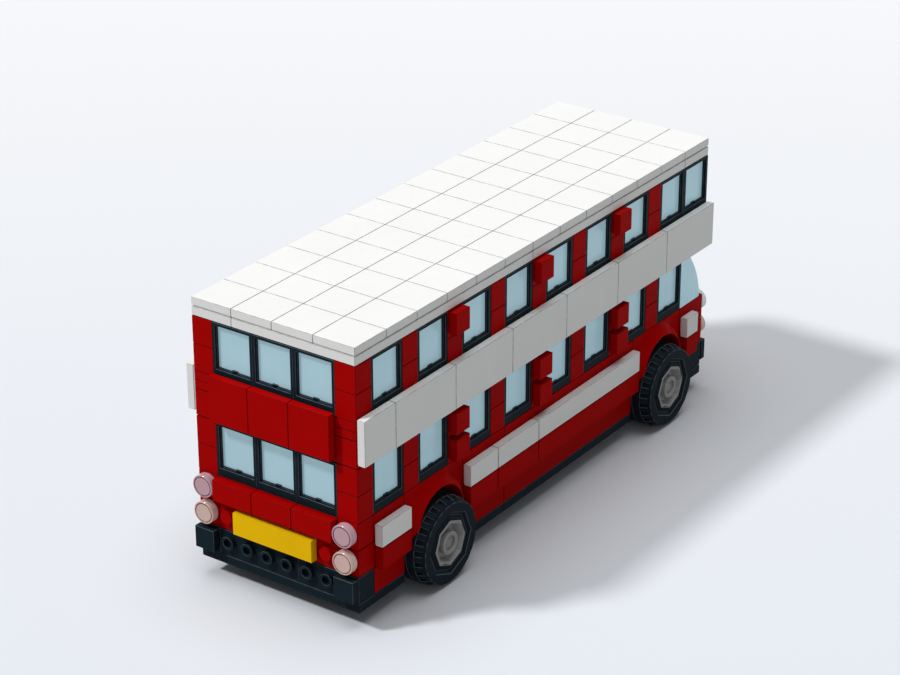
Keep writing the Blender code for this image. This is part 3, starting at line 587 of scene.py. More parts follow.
# %% [markdown]
# A window unit is a black frame two studs wide and six plates high, with a clear pane clipped in behind a small
# ledge. The frame is one loft that runs round its section and closes on itself, so it has a real opening. Its
# back edge spreads until it touches the frame or pillar beside it, so no light shows through the joint. A little
# tab stands in the middle of the sill, where a fingernail gets behind the pane.

# %% Window units
JAMB, HEAD, SILL = 1.1 * MM, 1.1 * MM, 3.0 * MM
LEDGE_DEPTH, LEDGE, PANE_DEPTH, PANE = 0.9 * MM, 0.25 * MM, 1.5 * MM, 1.0 * MM
TAB_HALF, TAB_HEIGHT, TAB_GAP = 1.1 * MM, 0.75 * MM, 0.02 * MM
TUCK = 0.1 * MM


def window_frame(bm, wall, start, sill):
    """Black frame of one window unit."""
    head = level(sill + WINDOW_PLATES)
    outer = (start + JOINT, start + 2 * STUD - JOINT, level(sill) + SEAT, head - JOINT)
    inner = (start + JAMB, start + 2 * STUD - JAMB, level(sill) + SILL, head - HEAD)
    touch = JOINT if wall in ("rear", "front") or start > station(23) else 2 * JOINT
    outside = ((-STUD, -touch), (-EASE, 0.0), (0.0, EASE))
    inside = ((0.0, -EASE), (-EASE, 0.0), (-LEDGE_DEPTH, 0.0), (-LEDGE_DEPTH, LEDGE), (-STUD, LEDGE))
    rings = [rectangle(wall, outer, *place) for place in outside]
    rings += [rectangle(wall, inner, *place) for place in inside]
    # Bands 1, 3 and 5 take the black plastic's painted highlight.
    loft(bm, rings, loop=True, rims=(1, 3, 5))
    middle, foot = start + STUD, level(sill) + SILL
    low = WALLS[wall](middle - TAB_HALF, foot - TUCK, -LEDGE_DEPTH)
    brick(bm, low, WALLS[wall](middle + TAB_HALF, foot + TAB_HEIGHT, -PANE_DEPTH + TAB_GAP), SMALL_EASE)


def window_pane(bm, wall, start, sill):
    """Clear pane behind the ledge, tucked a little into its frame."""
    end, head = start + 2 * STUD - JAMB + TUCK, level(sill + WINDOW_PLATES) - HEAD + TUCK
    low = WALLS[wall](start + JAMB - TUCK, level(sill) + SILL - TUCK, -PANE_DEPTH)
    brick(bm, low, WALLS[wall](end, head, -PANE_DEPTH - PANE), SMALL_EASE)


WINDOW_PARTS = (("frames", window_frame, "black_plastic"), ("panes", window_pane, "blue_clear_plastic"))
SILLS = {"lower": LOWER_SILL, "upper": UPPER_SILL}


def window_row(place, deck, wall, start, count, step):
    """Row of frames and row of panes on one wall of a deck."""
    for part, make, finish in WINDOW_PARTS:
        unit = new_shape()
        make(unit, wall, start, SILLS[deck])
        field(f"{place}_window_{wall}_{part}", unit, finish, (count, step), nodes=[f"{deck}_windows_{wall}"])


for deck in SILLS:
    for side in SIDES:
        window_row(deck, deck, side, station(1), 8, (3 * STUD, 0, 0))
for side in SIDES:
    window_row("corner", "upper", side, station(24), 1, (STUD, 0, 0))
for deck, wall in (("lower", "rear"), ("upper", "rear"), ("upper", "front")):
    window_row(deck, deck, wall, -3 * STUD, 3, (0, 2 * STUD, 0))

# %% [markdown]
# The red walls below the windows, the belt between the decks and the floor plates are bricks of unequal length.
# A short table per wall lists their joints and plate levels, and one loop builds each table into one mesh.

# %% Red walls
END_JOINTS = (-3 * STUD, -STUD, STUD, 3 * STUD)


def brick_row(bm, wall, joints, low, high):
    """Row of bricks between joints, from one plate line to another."""
    for start, end in spans(joints):
        wall_brick(bm, wall, (start, end, *layer(low, high)))


def courses(name, node, rows):
    """Red bricks of one wall; each row is (wall, low level, high level, joints along)."""
    bm = new_shape()
    for wall, low, high, joints in rows:
        brick_row(bm, wall, joints, low, high)
    piece(name, bm, "red_plastic", node)


def studs(*places):
    """Joints along a side, given as stud lines."""
    return [station(place) for place in places]


for side in SIDES:
    rows = [(side, low, low + BRICK_PLATES, studs(7, 10, 20)) for low in (BASE_TOP, BUMPER_TOP, SKIRT_MIDDLE)]
    courses(f"lower_wall_bricks_{side}", f"lower_wall_{side}", rows)
    courses(f"belt_bricks_{side}", f"belt_{side}", [(side, LOWER_HEAD, BELT_TOP, studs(0, 6, 12, 18, 24, 26))])
courses("belt_bricks_rear", "belt_rear", [("rear", LOWER_HEAD, BELT_TOP, (-3 * STUD, 0, 3 * STUD))])
bm = new_shape()
for first, last in spans(END_JOINTS):
    low = (station(24) + SEAT / 2, first + JOINT, level(LOWER_HEAD) + SEAT)
    brick(bm, low, (station(26), last - JOINT, level(BELT_TOP)))
piece("belt_bricks_front", bm, "red_plastic", "belt_front")

halves = (-SIDE, 0, SIDE)
rows = [((0, 10, 20, 26), halves, level(BELT_TOP) + SEAT, level(BELT_TOP + 1) - JOINT)]
rows += [((0, 12, 24, 26), halves, level(BELT_TOP + 1) + JOINT, level(UPPER_SILL) - JOINT)]
slabs("upper_floor_plates", "red_plastic", "upper_floor", rows)

# %% [markdown]
# At each end a wall of bricks turns the corner and runs back to the wheel arch. The corner bricks are one stud
# square and carry the lamps, and three smooth tiles lie across the top of the wall. A stud on an end face is a
# profile of (outward, radius) swept round, as the lamps are later.

# %% End walls
STUD_HEIGHT, STUD_RADIUS, STUD_BORE, STUD_FLOOR, STUD_SOFT = 1.7 * MM, 2.4 * MM, 1.6 * MM, 0.25 * MM, 0.07 * MM
RED_BAND = (level(STRIP_TOP) - 2 * STUD + SEAT, level(STRIP_TOP) - STUD)
WHITE_BAND = (level(STRIP_TOP) - STUD + SEAT, level(STRIP_TOP) - SEAT / 2)


def full_turn(steps, shift=0.0):
    """Angles of one turn in equal steps."""
    return [2 * math.pi * (k + shift) / steps for k in range(steps)]


def round_shape(bm, wall, along, up, profile, angles, rims=(), loop=False):
    """Round shape that stands on a wall; the profile is (outward, radius)."""
    rings = []
    for out, reach in profile:
        rings.append([WALLS[wall](along + reach * math.cos(a), up + reach * math.sin(a), out) for a in angles])
    loft(bm, rings, loop, rims)


def side_stud(bm, end, y, z, bored):
    """Stud on an end face, hollow where the brick's studs are."""
    edge = STUD_HEIGHT - STUD_SOFT
    profile = [(0.0, STUD_RADIUS), (edge, STUD_RADIUS), (STUD_HEIGHT, STUD_RADIUS - STUD_SOFT)]
    if bored:
        profile += [(STUD_HEIGHT, STUD_BORE + STUD_SOFT), (edge, STUD_BORE), (STUD_FLOOR, STUD_BORE)]
    round_shape(bm, end, y, z, profile, full_turn(32), (1, 3))


def tiles(bm, wall, joints, band, gap=0.0):
    """Row of tiles between joints; the band is (up from, up to)."""
    for start, end in spans(joints):
        tile(bm, wall, (start + gap, end - gap, *band))


def tile_piece(name, finish, node, wall, joints, band, gap=0.0):
    """Piece made of one row of tiles."""
    bm = new_shape()
    tiles(bm, wall, joints, band, gap)
    piece(name, bm, finish, node)


for end in ENDS:
    bm = new_shape()
    for low in (BUMPER_TOP, SKIRT_MIDDLE):
        brick_row(bm, end, (-SIDE, *END_JOINTS, SIDE), low, low + BRICK_PLATES)
    run = studs(1, 3) if end == "rear" else studs(24, 25)
    for side in SIDES:
        for low in (BASE_TOP, BUMPER_TOP, SKIRT_MIDDLE):
            brick_row(bm, side, run, low, low + BRICK_PLATES)
        tiles(bm, side, run, RED_BAND, SEAT)
    tiles(bm, end, END_JOINTS, (level(LOWER_SILL) - STUD + SEAT, level(LOWER_SILL) - SEAT / 2))
    for hand in (-1, 1):
        side_stud(bm, end, hand * 2.5 * STUD, level(SKIRT_MIDDLE) - STUD / 2, False)
    piece(f"{end}_skirt_bricks", bm, "red_plastic", f"{end}_skirt")
for side in SIDES:
    row = (side, studs(7, 9, 12, 20), RED_BAND, SEAT / 2)
    tile_piece(f"lower_wall_tiles_{side}", "red_plastic", f"lower_wall_{side}", *row)

# %% [markdown]
# Black bricks make the bumpers. Their middle has a row of hollow studs, which is again the field tree with one
# stud as its unit, and smooth tiles close the two corners.

# %% Bumpers
for end in ENDS:
    bm, top = new_shape(), level(BUMPER_TOP)
    brick_row(bm, end, (-SIDE, -3 * STUD, -STUD, 3 * STUD, SIDE), BASE_TOP, BUMPER_TOP)
    for hand in (-1, 1):
        tile(bm, end, (*sorted((hand * (3 * STUD + SEAT), hand * SIDE)), top - STUD, top - SEAT / 2))
    piece(f"{end}_bumper_bricks", bm, "black_plastic", f"{end}_bumper")
    unit = new_shape()
    side_stud(unit, end, -2.5 * STUD, top - STUD / 2, True)
    field(f"{end}_bumper_studs", unit, "black_plastic", (6, (0, STUD, 0)), nodes=[f"{end}_bumper"])

# %% [markdown]
# White and coloured tiles finish the walls: a broad white band between the decks, a narrow white strip along the
# skirt, red panels at both ends, and a blank number plate at each end. They are all tiles, so the same helper
# makes them from short tables.

# %% Bands, strips and panels
BROAD_BAND = (level(BELT_TOP) - STUD, level(BELT_TOP) + STUD)
STRIPS = (("rear", (1, 3)), ("middle", (7, 9, 12, 20)), ("front", (24, 25)))
for side in SIDES:
    row = (side, studs(0, 2, 6, 10, 14, 18, 22, 26), BROAD_BAND)
    tile_piece(f"white_band_tiles_{side}", "white_plastic", f"white_band_{side}", *row)
    for part, joints in STRIPS:
        row = (side, studs(*joints), WHITE_BAND, SEAT / 2)
        tile_piece(f"white_strip_tiles_{part}_{side}", "white_plastic", f"white_strip_{part}_{side}", *row)
middle = level(SKIRT_MIDDLE) - STUD / 2
for end, finish in (("rear", "yellow_plastic"), ("front", "white_plastic")):
    tile_piece(f"{end}_panel_tiles", "red_plastic", f"{end}_panel", end, END_JOINTS, BROAD_BAND)
    row = (end, (-2 * STUD, 2 * STUD), (middle - STUD / 2, middle + STUD / 2))
    tile_piece(f"{end}_number_tile", finish, f"number_plate_{end}", *row)

# %% [markdown]
# A mudguard is one moulding: an arch cut through a slab, with a sloping lip round the opening. Its shape follows
# a rule, so it is lofted along the arch, one closed section for each step from one foot to the other. Near the
# feet the tyre needs room, and the section is trimmed to that circle.

# %% Mudguards
AXLE_Z = 15.2 * MM
AXLES = {"rear": station(5), "front": station(22)}
GUARD_HALF = 2 * STUD - SEAT
GUARD_FOOT, GUARD_TOP = level(MUDGUARD_FOOT) + SEAT, level(LOWER_SILL)
SPRING = GUARD_TOP - GUARD_HALF
GUARD_BACK, GUARD_FACE = 3 * STUD + SEAT, SIDE
LIP_ROOT, LIP_TIP, LIP_RISE, THROAT, SWEEP = GUARD_HALF - SEAT, 12.6 * MM, 3.2 * MM, 12.1 * MM, 15.5 * MM
LEG_STEPS, ARCH_STEPS = 6, 64
TINY, WELD = 1e-6, 0.004 * MM


def mudguard_section(angle, height):
    """Section points (x, z, out) at one step: at an angle of the arch, or at a height of a leg."""
    cosine, sine = math.cos(angle), math.sin(angle)
    if height is None:
        drop = SPRING - AXLE_Z
        clear = math.sqrt(SWEEP**2 - (drop * cosine) ** 2) - drop * sine
        reach = min(GUARD_HALF / max(abs(cosine), TINY), (GUARD_TOP - SPRING) / max(sine, TINY))
    else:
        clear, reach = math.sqrt(SWEEP**2 - (height - AXLE_Z) ** 2), GUARD_HALF
    edge = max(THROAT, clear)
    tip = max(LIP_TIP, edge)
    front = GUARD_FACE + LIP_RISE * (LIP_ROOT - tip) / (LIP_ROOT - LIP_TIP)
    radii = [(reach, GUARD_BACK), (reach, GUARD_FACE), (LIP_ROOT, GUARD_FACE)]
    radii += [(tip, front), (edge, front), (edge, GUARD_BACK)]
    if height is None:
        return [(radius * cosine, SPRING + radius * sine, y) for radius, y in radii]
    return [(math.copysign(radius, cosine), height, y) for radius, y in radii]


def mudguard(bm, middle, side):
    """Mudguard about an axle, on the left (1) or right (-1), with its shelf behind."""
    legs = [GUARD_FOOT + (SPRING - GUARD_FOOT) * k / LEG_STEPS for k in range(LEG_STEPS)]
    turns = [(math.pi, z) for z in legs]
    turns += [(math.pi * (1 - k / ARCH_STEPS), None) for k in range(ARCH_STEPS + 1)]
    turns += [(0.0, z) for z in reversed(legs)]
    loft(bm, [[(middle + x, side * y, z) for x, z, y in mudguard_section(*turn)] for turn in turns])
    bmesh.ops.remove_doubles(bm, verts=bm.verts, dist=WELD)
    y_low, y_high = sorted((side * 2 * STUD, side * 3 * STUD))
    brick(bm, (middle - GUARD_HALF, y_low, GUARD_TOP - PLATE), (middle + GUARD_HALF, y_high, GUARD_TOP))


for end, middle in AXLES.items():
    for side, sign in SIDES.items():
        bm = new_shape()
        mudguard(bm, middle, sign)
        piece(f"mudguard_arch_{end}_{side}", bm, "red_plastic", f"mudguard_{end}_{side}")

# %% [markdown]
# The wheels turn, so their pieces ride on the wheel bodies. The tyre and the grey wheel centre are round, but
# their faces are eight-sided, as on the real wheel. Both come from one idea: rings of points whose radius may
# change with the angle, so a ring can be a circle or an octagon, and a loft through them closes on itself.

# %% Round and eight-sided rings
WHEEL_BACK = 3 * STUD + 0.8 * MM


def circle(radius):
    """Radius rule of a circle."""
    return lambda angle: radius


def octagon(corner):
    """Radius rule of an octagon with a corner at the top, from the radius of its corners."""
    eighth = math.pi / 4
    return lambda angle: corner * math.cos(eighth / 2) / math.cos(angle % eighth - eighth / 2)


def wheel_rings(centre, side, profile, steps):
    """Rings about an axle; the profile is (outward, radius rule, optional dip rule)."""
    rings = []
    for outward, rule, *dip in profile:
        ring = []
        for angle in full_turn(steps):
            radius = rule(angle)
            out = outward - (dip[0](angle) if dip else 0.0)
            y = side * (WHEEL_BACK + out)
            ring.append((centre + radius * math.cos(angle), y, AXLE_Z + radius * math.sin(angle)))
        rings.append(ring)
    return rings


print("octagon at 0 degrees:", round(octagon(1.0)(0.0), 3))

# %% [markdown]
# The tread is two rows of lugs with a smooth band between them. Twenty-four lugs in each row are a ring of one
# unit, so a second tree turns the unit round the axle: every point of its line lies on the axle, and only the
# rotation changes with the index.

# %% Geometry Nodes: a ring of pieces
def build_ring():
    """Tree that repeats a unit round an axle."""
    sockets = (GEOMETRY, ("Count", "Int"), ("Centre", "Vector"), MATERIAL)
    tree, given, result = new_tree("ring_of_pieces", "GeometryNodeTree", sockets, (GEOMETRY,))
    take = given.outputs
    still = (0.0, 0.0, 0.0)
    line = add(tree, "GeometryNodeMeshLine", Count=take["Count"], Start_Location=take["Centre"], Offset=still)
    whole = scaled(tree, add(tree, "GeometryNodeInputIndex")["Index"], 2 * math.pi)
    turned = add(tree, "ShaderNodeCombineXYZ", Y=calculate(tree, "DIVIDE", whole, take["Count"]))
    turned = add(tree, "FunctionNodeEulerToRotation", Euler=turned["Vector"])["Rotation"]
    values = {"Points": line["Mesh"], "Instance": take["Geometry"], "Rotation": turned}
    finish_tree(tree, given, add(tree, "GeometryNodeInstanceOnPoints", **values)["Instances"], result)
    return tree


RING = build_ring()
print("ring tree nodes:", len(RING.nodes))

# %% [markdown]
# Half of the tyre's section is a table, from the middle of the tread over the shoulder to the bead, and the
# other half mirrors it. The face steps down from one octagon to the next and rises again in a narrow lip round
# the wheel centre. The wheel centre has a deep eight-sided dish, two slots in its lip and a hub, which a small
# cap closes.

# %% Tyres and wheel centres
TYRE, WIDTH, FLOOR, ROW, EDGE = 15.2 * MM, 14.0 * MM, 14.3 * MM, 3.8 * MM, 0.12 * MM
LUGS, LUG_HALF, LUG_HALF_TOP, LUG_SHOULDER = 24, 1.02 * MM, 0.9 * MM, 1.2 * MM
BAND_EDGE, FACE_RADIUS, LIP_OUT, BEAD_OUT = 0.3 * MM, 13.9 * MM, 0.2 * MM, 2.2 * MM
TYRE_SECTION = (  # inward from the face, radius rule
    (7.0 * MM, circle(TYRE - 0.08 * MM)),
    (6.85 * MM, circle(TYRE)),
    (ROW + EDGE, circle(TYRE)),
    (ROW, circle(TYRE - EDGE)),
    (ROW, circle(FLOOR)),
    (BAND_EDGE, circle(FLOOR)),
    (EDGE, circle(FACE_RADIUS + EDGE)),
    (0.0, circle(FACE_RADIUS)),
    (0.0, octagon(11.45 * MM)),
    (1.3 * EDGE, octagon(11.27 * MM)),
    (1.0 * MM, octagon(10.2 * MM)),
    (1.0 * MM, octagon(10.05 * MM)),
    (LIP_OUT, octagon(8.5 * MM)),
    (LIP_OUT, octagon(8.32 * MM)),
    (BEAD_OUT, octagon(8.32 * MM)),
    (BEAD_OUT, circle(9.4 * MM)),
)
TYRE_EDGES = (0, 2, 6, 8, 10)
SLOTS, SLOT_HALF, SLOT_DEPTH = (22.5, 247.5), 11, 0.9 * MM  # the first two in degrees
FRONT, BACK, DISH, WELL_LOW, WELL_HIGH = 13.9 * MM, 0.1 * MM, 11.3 * MM, 2.4 * MM, 11.6 * MM
RIM, HUB, BORE, WELL = 8.2 * MM, 3.95 * MM, 2.55 * MM, 9.2 * MM
CAP_SECTION = ((12.0, 2.5), (12.95, 2.5), (12.95, 1.55), (13.25, 1.4))  # outward and radius in mm


def lug(bm, side, outer, lag):
    """One tread block with eased edges, at the top of the wheel and turned by lag."""
    near, far = (WIDTH - ROW, WIDTH - EDGE / 4) if outer else (ROW, EDGE / 4)
    slope = (ROW - BAND_EDGE) * (1 if outer else -1)
    rings = []
    for x, ease in ((-LUG_HALF, EDGE), (-LUG_HALF_TOP, 0.0), (LUG_HALF_TOP, 0.0), (LUG_HALF, EDGE)):
        top = TYRE - ease
        profile = [(near, FLOOR - 0.3 * MM), (near, top), (far - slope, top), (far, top - LUG_SHOULDER)]
        ring = []
        for out, z in profile + [(far, FLOOR - 0.5 * MM)]:
            turned = (x * math.cos(lag) + z * math.sin(lag), z * math.cos(lag) - x * math.sin(lag))
            ring.append((turned[0], side * (WHEEL_BACK + out), turned[1]))
        rings.append(ring)
    loft(bm, rings, rims=(0, 2))


def slot_dip(angle):
    """Depth of the two narrow slots in the wheel's lip."""
    away = min(abs(angle - math.radians(place)) for place in SLOTS)
    return SLOT_DEPTH if away < math.radians(SLOT_HALF) else 0.0


RIM_SECTION = (  # outward from the back, radius rule, dip rule
    (FRONT - EDGE, octagon(RIM)),
    (FRONT, octagon(RIM - EDGE)),
    (FRONT, octagon(7.9 * MM)),
    (FRONT, octagon(7.88 * MM), slot_dip),
    (FRONT, octagon(7.52 * MM), slot_dip),
    (FRONT, octagon(7.5 * MM)),
    (FRONT, octagon(7.35 * MM)),
    (FRONT - EDGE, octagon(7.25 * MM)),
    (DISH, octagon(5.9 * MM)),
    (DISH, circle(HUB)),
    (FRONT - EDGE, circle(HUB)),
    (FRONT, circle(HUB - EDGE)),
    (FRONT, circle(BORE + EDGE)),
    (FRONT - EDGE, circle(BORE)),
    (BACK + EDGE, circle(BORE)),
    (BACK, circle(BORE + EDGE)),
    (BACK, octagon(RIM - EDGE)),
    (BACK + EDGE, octagon(RIM)),
    (WELL_LOW, octagon(RIM)),
    (WELL_LOW, circle(WELL)),
    (WELL_HIGH, circle(WELL)),
    (WELL_HIGH, octagon(RIM)),
)


def wheel(end, side, sign):
    """Tyre, its lugs and the wheel centre of one wheel."""
    corner, centre = f"{end}_{side}", AXLES[end]
    body, tyre = f"wheel_{corner}", f"tyre_{corner}"
    section = TYRE_SECTION + tuple((WIDTH - out, rule) for out, rule in TYRE_SECTION[:0:-1])
    edges = [*TYRE_EDGES, *(len(section) - 1 - k for k in TYRE_EDGES)]
    bm = new_shape()
    # The rim bands of the tyre take the rubber's painted highlight.
    loft(bm, wheel_rings(centre, sign, section, 96), loop=True, rims=edges)
    piece(f"tyre_carcass_{corner}", bm, "tyre_rubber", tyre, body)
    bm = new_shape()
    lug(bm, sign, True, 0.0)
    lug(bm, sign, False, math.pi / LUGS)
    values = {"Count": LUGS, "Centre": (centre, 0.0, AXLE_Z)}
    repeat(f"tyre_lugs_{corner}", bm, "tyre_rubber", [tyre], body, RING, values)
    cap = [(out * MM, circle(radius * MM)) for out, radius in CAP_SECTION]
    bm = new_shape()
    # The rim bands of the wheel centre take the grey plastic's painted highlight.
    loft(bm, wheel_rings(centre, sign, RIM_SECTION, 80), loop=True, rims=(0, 6, 10, 12, 14, 16))
    loft(bm, wheel_rings(centre, sign, cap, 32), rims=(2,))
    piece(f"wheel_centre_{corner}", bm, "grey_plastic", f"rim_{corner}", body)


for end in AXLES:
    for side, sign in SIDES.items():
        wheel(end, side, sign)

# %% [markdown]
# The lamps are round clear tiles, one on each corner brick. A pair at the same height is a field of two, one on
# each side. A fine ring near the edge of the face is where the mould's insert met its plate; its groove takes the
# lamp's dark edge colour, a painted shade.

# %% Lamps
LAMP, LAMP_FOOT, LAMP_EASE, RING_DEPTH = 3.95 * MM, 0.5 * MM, 0.15 * MM, 0.16 * MM
LAMP_SECTION = (  # outward, radius
    (SEAT, LAMP - TILE_GROOVE),
    (SEAT + LAMP_FOOT, LAMP - TILE_GROOVE),
    (SEAT + LAMP_FOOT, LAMP),
    (PLATE - LAMP_EASE, LAMP),
    (PLATE, LAMP - LAMP_EASE),
    (PLATE, LAMP - 0.5 * MM),
    (PLATE - RING_DEPTH, LAMP - 0.58 * MM),
    (PLATE - RING_DEPTH, LAMP - 0.8 * MM),
    (PLATE, LAMP - 0.88 * MM),
)
LAMPS = (  # end, height, top of its brick, finish
    ("rear", "upper", LOWER_SILL, "pink_clear_plastic"),
    ("rear", "lower", SKIRT_MIDDLE, "peach_clear_plastic"),
    ("front", "upper", LOWER_SILL, "clear_plastic"),
    ("front", "lower", SKIRT_MIDDLE, "peach_clear_plastic"),
)
for end, height, top, finish in LAMPS:
    unit = new_shape()
    place = (-3.5 * STUD, level(top) - STUD / 2)
    # Bands 5, 6 and 7 are the ring groove, which takes the painted shade of the lamp's edge colour.
    round_shape(unit, end, *place, LAMP_SECTION, full_turn(48, 0.5), (5, 6, 7))
    nodes = [f"{height}_lamp_{end}_{side}" for side in SIDES]
    field(f"{end}_{height}_lamps", unit, finish, (2, (0, 7 * STUD, 0)), nodes=nodes)

# %% [markdown]
# The windscreen is a single clear moulding that slopes and bows outwards, with closed cheeks. It is a shell: an
# outer and an inner outline of the same count, lofted across the bus, so that the wall keeps its thickness.

# %% Windscreen
SCREEN_WALL, SCREEN_FOOT = 1.5 * MM, 3.0 * MM
SCREEN_DEPTH, SCREEN_LEAN, SCREEN_BOW, SCREEN_STEPS = 13.0 * MM, 7.7 * MM, 1.2 * MM, 24


def screen_outline(wall):
    """Outline (x, z) of the screen, moved in by the wall."""
    low, high = layer(LOWER_SILL, LOWER_HEAD)
    back, foot, top = station(24) + SEAT / 2, low + SCREEN_FOOT, high - wall
    points = [(back, low), (back + SCREEN_DEPTH - wall, low)]
    for k in range(SCREEN_STEPS + 1):
        share = k / SCREEN_STEPS
        run = SCREEN_DEPTH - SCREEN_LEAN * share + SCREEN_BOW * math.sin(math.pi * share)
        points.append((back + run - wall, foot + (top - foot) * share))
    return points + [(back, top)]


def screen(bm):
    """Closed shell of the screen, open behind and below."""
    outer, inner = screen_outline(0.0), screen_outline(SCREEN_WALL)
    cheek = SIDE - SCREEN_WALL
    rows = []
    for y, line in ((-SIDE, outer), (SIDE, outer), (cheek, inner), (-cheek, inner)):
        rows.append([bm.verts.new((x, y, z)) for x, z in line])
    last = len(outer) - 1
    for k in range(1, last):
        for one, two in ((0, 1), (2, 3)):
            bm.faces.new((rows[one][k], rows[one][k + 1], rows[two][k + 1], rows[two][k]))
    for row in rows:
        bm.faces.new(row)
    for k, after in ((0, 1), (last, 0)):
        for one, two in ((0, 3), (3, 2), (2, 1)):
            bm.faces.new((rows[one][k], rows[one][after], rows[two][after], rows[two][k]))


bm = new_shape()
screen(bm)
piece("windscreen_shell", bm, "blue_clear_plastic", "windscreen")

# %% [markdown]
# Underneath, black plates carry the whole bus. A plate is hollow, with a rim, a thin top and tubes that grip the
# studs of whatever it stands on. The hollow plates come from a table, and the tubes are fields of one tube.

# %% Base plates and tubes
PLATE_RIM, PLATE_SKIN, MOUTH = 1.5 * MM, 1.2 * MM, 0.1 * MM
TUBE_OUTER, TUBE_INNER, TUBE_GAP = 3.25 * MM, 2.4 * MM, 0.02 * MM
PLATE_SECTION = (  # up from the underside, inset
    (PLATE - PLATE_SKIN, PLATE_RIM),
    (MOUTH, PLATE_RIM),
    (0.0, PLATE_RIM - MOUTH),
    (0.0, JOINT + EASE),
    (EASE, JOINT),
    (PLATE - EASE, JOINT),
    (PLATE, JOINT + EASE),
)


def hollow_plate(bm, first, last, y_low, y_high):
    """Plate between two stud lines, open underneath."""
    box = (station(first), station(last), y_low, y_high)
    loft(bm, [rectangle("underside", box, up, inset) for up, inset in PLATE_SECTION], rims=(1, 3, 5))


TUBE_SECTION = [(PLATE - PLATE_SKIN, TUBE_OUTER), (TUBE_GAP, TUBE_OUTER)]  # up from the underside, radius
TUBE_SECTION += [(TUBE_GAP, TUBE_INNER), (PLATE - PLATE_SKIN, TUBE_INNER)]

bm = new_shape()
for first, last in spans((0, 10, 26)):
    hollow_plate(bm, first, last, -3 * STUD, 3 * STUD)
for first, last in ((0, 3), (7, 10), (10, 20), (24, 26)):
    for sign in (-1, 1):
        hollow_plate(bm, first, last, *sorted((sign * 3 * STUD, sign * SIDE)))
piece("base_plate_shells", bm, "black_plastic", "base_plate")
for name, first, count in (("rear", 1, 9), ("front", 11, 15)):
    unit = new_shape()
    round_shape(unit, "underside", station(first), -2 * STUD, TUBE_SECTION, full_turn(24), loop=True)
    steps = ((count, (STUD, 0, 0)), (5, (0, STUD, 0)))
    field(f"{name}_plate_tubes", unit, "black_plastic", *steps, ["base_plate"])

# %% [markdown]
# The bricks that carry the axles are seen only past the wheels and from below, and the CAD model already has
# their cross holes and pins. They stay as they are and only take the black finish.

# %% Carried-over bricks
for name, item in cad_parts.items():
    if not item.hide_render:
        item.data.materials.clear()
        item.data.materials.append(FINISHES["black_plastic"])
        print("kept from the frame:", name)

# %% [markdown]
# The paper of the floor is a little darker near the camera than beyond the bus, and far out it takes the tone of
# the world, so that no edge shows in a low view. All other rays find a plain grey, because a white floor would
# light the bus from below.

# %% Floor
FLOOR_REACH = 6.0
AWAY, AWAY_BAND, FAR_BAND = (0.81, 0.58, 0.0), (-0.25, 0.75), (0.9, 2.6)
NEAR_TONE, BEYOND_TONE, FAR_TONE = (0.63, 0.67, 0.725, 1.0), (0.80, 0.80, 0.82, 1.0), (0.726, 0.766, 0.80, 1.0)
DIM_TONES = (0.43, 0.44, 0.45, 1.0), (0.46, 0.47, 0.48, 1.0)
PAPER_CLOUDS, PAPER_DRIFT = 3.0, 0.1

floor_mesh = bpy.data.meshes.new("studio_floor")
corners = [(x * FLOOR_REACH, y * FLOOR_REACH, 0) for x, y in ((-1, -1), (1, -1), (1, 1), (-1, 1))]
floor_mesh.from_pydata(corners, [], [(0, 1, 2, 3)])
floor = new_object("studio_floor", floor_mesh)


def straight_view(tree):
    """1 for rays that the camera sees straight, in a mirror or through glass, else 0."""
    paths = tree.nodes.new("ShaderNodeLightPath")
    seen = calculate(tree, "MAXIMUM", paths.outputs["Is Camera Ray"], paths.outputs["Is Glossy Ray"])
    return calculate(tree, "MAXIMUM", seen, paths.outputs["Is Transmission Ray"])


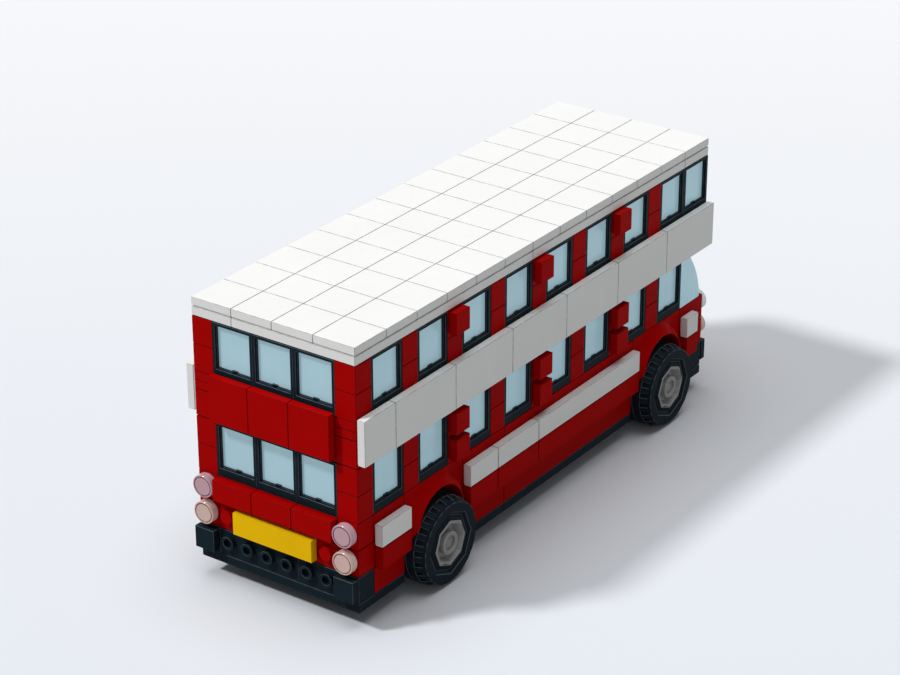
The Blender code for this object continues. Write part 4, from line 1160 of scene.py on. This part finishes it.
paper = bpy.data.materials.new("studio_paper")
paper.use_nodes = True
tree = paper.node_tree
sheet = tree.nodes["Principled BSDF"]
place = tree.nodes.new("ShaderNodeTexCoord").outputs["Object"]
clouds = noise(tree, place, PAPER_CLOUDS)
away = operate(tree, "ShaderNodeVectorMath", "DOT_PRODUCT", place, AWAY)["Value"]
away = calculate(tree, "ADD", spread(tree, away, *AWAY_BAND), scaled(tree, clouds, PAPER_DRIFT))
distance = operate(tree, "ShaderNodeVectorMath", "LENGTH", place)["Value"]
tone = blend(tree, away, NEAR_TONE, BEYOND_TONE)
tone = blend(tree, spread(tree, distance, *FAR_BAND), tone, FAR_TONE)
dim = blend(tree, clouds, *DIM_TONES)
feed(sheet, Base_Color=blend(tree, straight_view(tree), dim, tone), Roughness=0.9, Specular_IOR_Level=0.0)
floor_mesh.materials.append(paper)
floor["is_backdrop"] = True

# %% [markdown]
# The key light comes from behind and to the left of the bus, high up, so that the right side is in soft shade. A
# broad light straight above lifts the roof, and a weak one from low on the right keeps that side readable. The
# world is a pale grey that fills the shadows; only the camera sees it as nearly white.

# %% Light and world
FILL, WHITE = 0.18, 0.96
world = bpy.data.worlds.new("studio")
bpy.context.scene.world = world
world.use_nodes = True
sky = world.node_tree
strength = spread(sky, straight_view(sky), 0.0, 1.0, FILL, WHITE)
feed(sky.nodes["Background"], Color=(0.96, 0.98, 1.0, 1.0), Strength=strength)

SUNS = (  # name, strength, angle across in degrees, direction that the light comes from
    ("key_light", 2.14, 7, (-0.51, 0.41, 0.76)),
    ("overhead_light", 1.60, 50, (0.0, 0.0, 1.0)),
    ("side_light", 0.30, 70, (-0.45, -0.85, 0.10)),
)
for name, strength, across, towards in SUNS:
    lamp = bpy.data.lights.new(name, "SUN")
    lamp.energy, lamp.angle, lamp.color = strength, math.radians(across), (1.0, 0.995, 0.985)
    new_object(name, lamp).rotation_euler = Vector(towards).to_track_quat("Z", "Y").to_euler()
    print(name, lamp.energy)

# %% [markdown]
# The camera stands behind the bus, to its right and above, as in the picture it is compared with. Its place and
# its directions were found by matching the corners of the roof and walls.

# %% Camera
EYE = (-0.68623, -0.48129, 0.45720)
right, ahead = Vector((0.5790, -0.8153, -0.0020)), Vector((0.7338, 0.5221, -0.4347))
camera_data = bpy.data.cameras.new("camera")
camera_data.sensor_fit = "HORIZONTAL"
camera_data.sensor_width = 36.0
camera_data.lens = 109.43
camera = new_object("camera", camera_data)
ahead.normalize()
right = (right - ahead * right.dot(ahead)).normalized()
turn = Matrix((right, right.cross(ahead), -ahead)).transposed()
camera.matrix_world = Matrix.Translation(EYE) @ turn.to_4x4()
bpy.context.scene.camera = camera
bpy.context.scene.view_settings.view_transform = "Standard"
print("camera at", EYE)

# %% [markdown]
# Last, the box of the dressed bus is printed. It should agree with the CAD box, because dressing a part never
# changes its size.

# %% Print the box and finish
low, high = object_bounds()
print("dressed box in mm:", [round(v / MM, 2) for v in (*low, *high)])
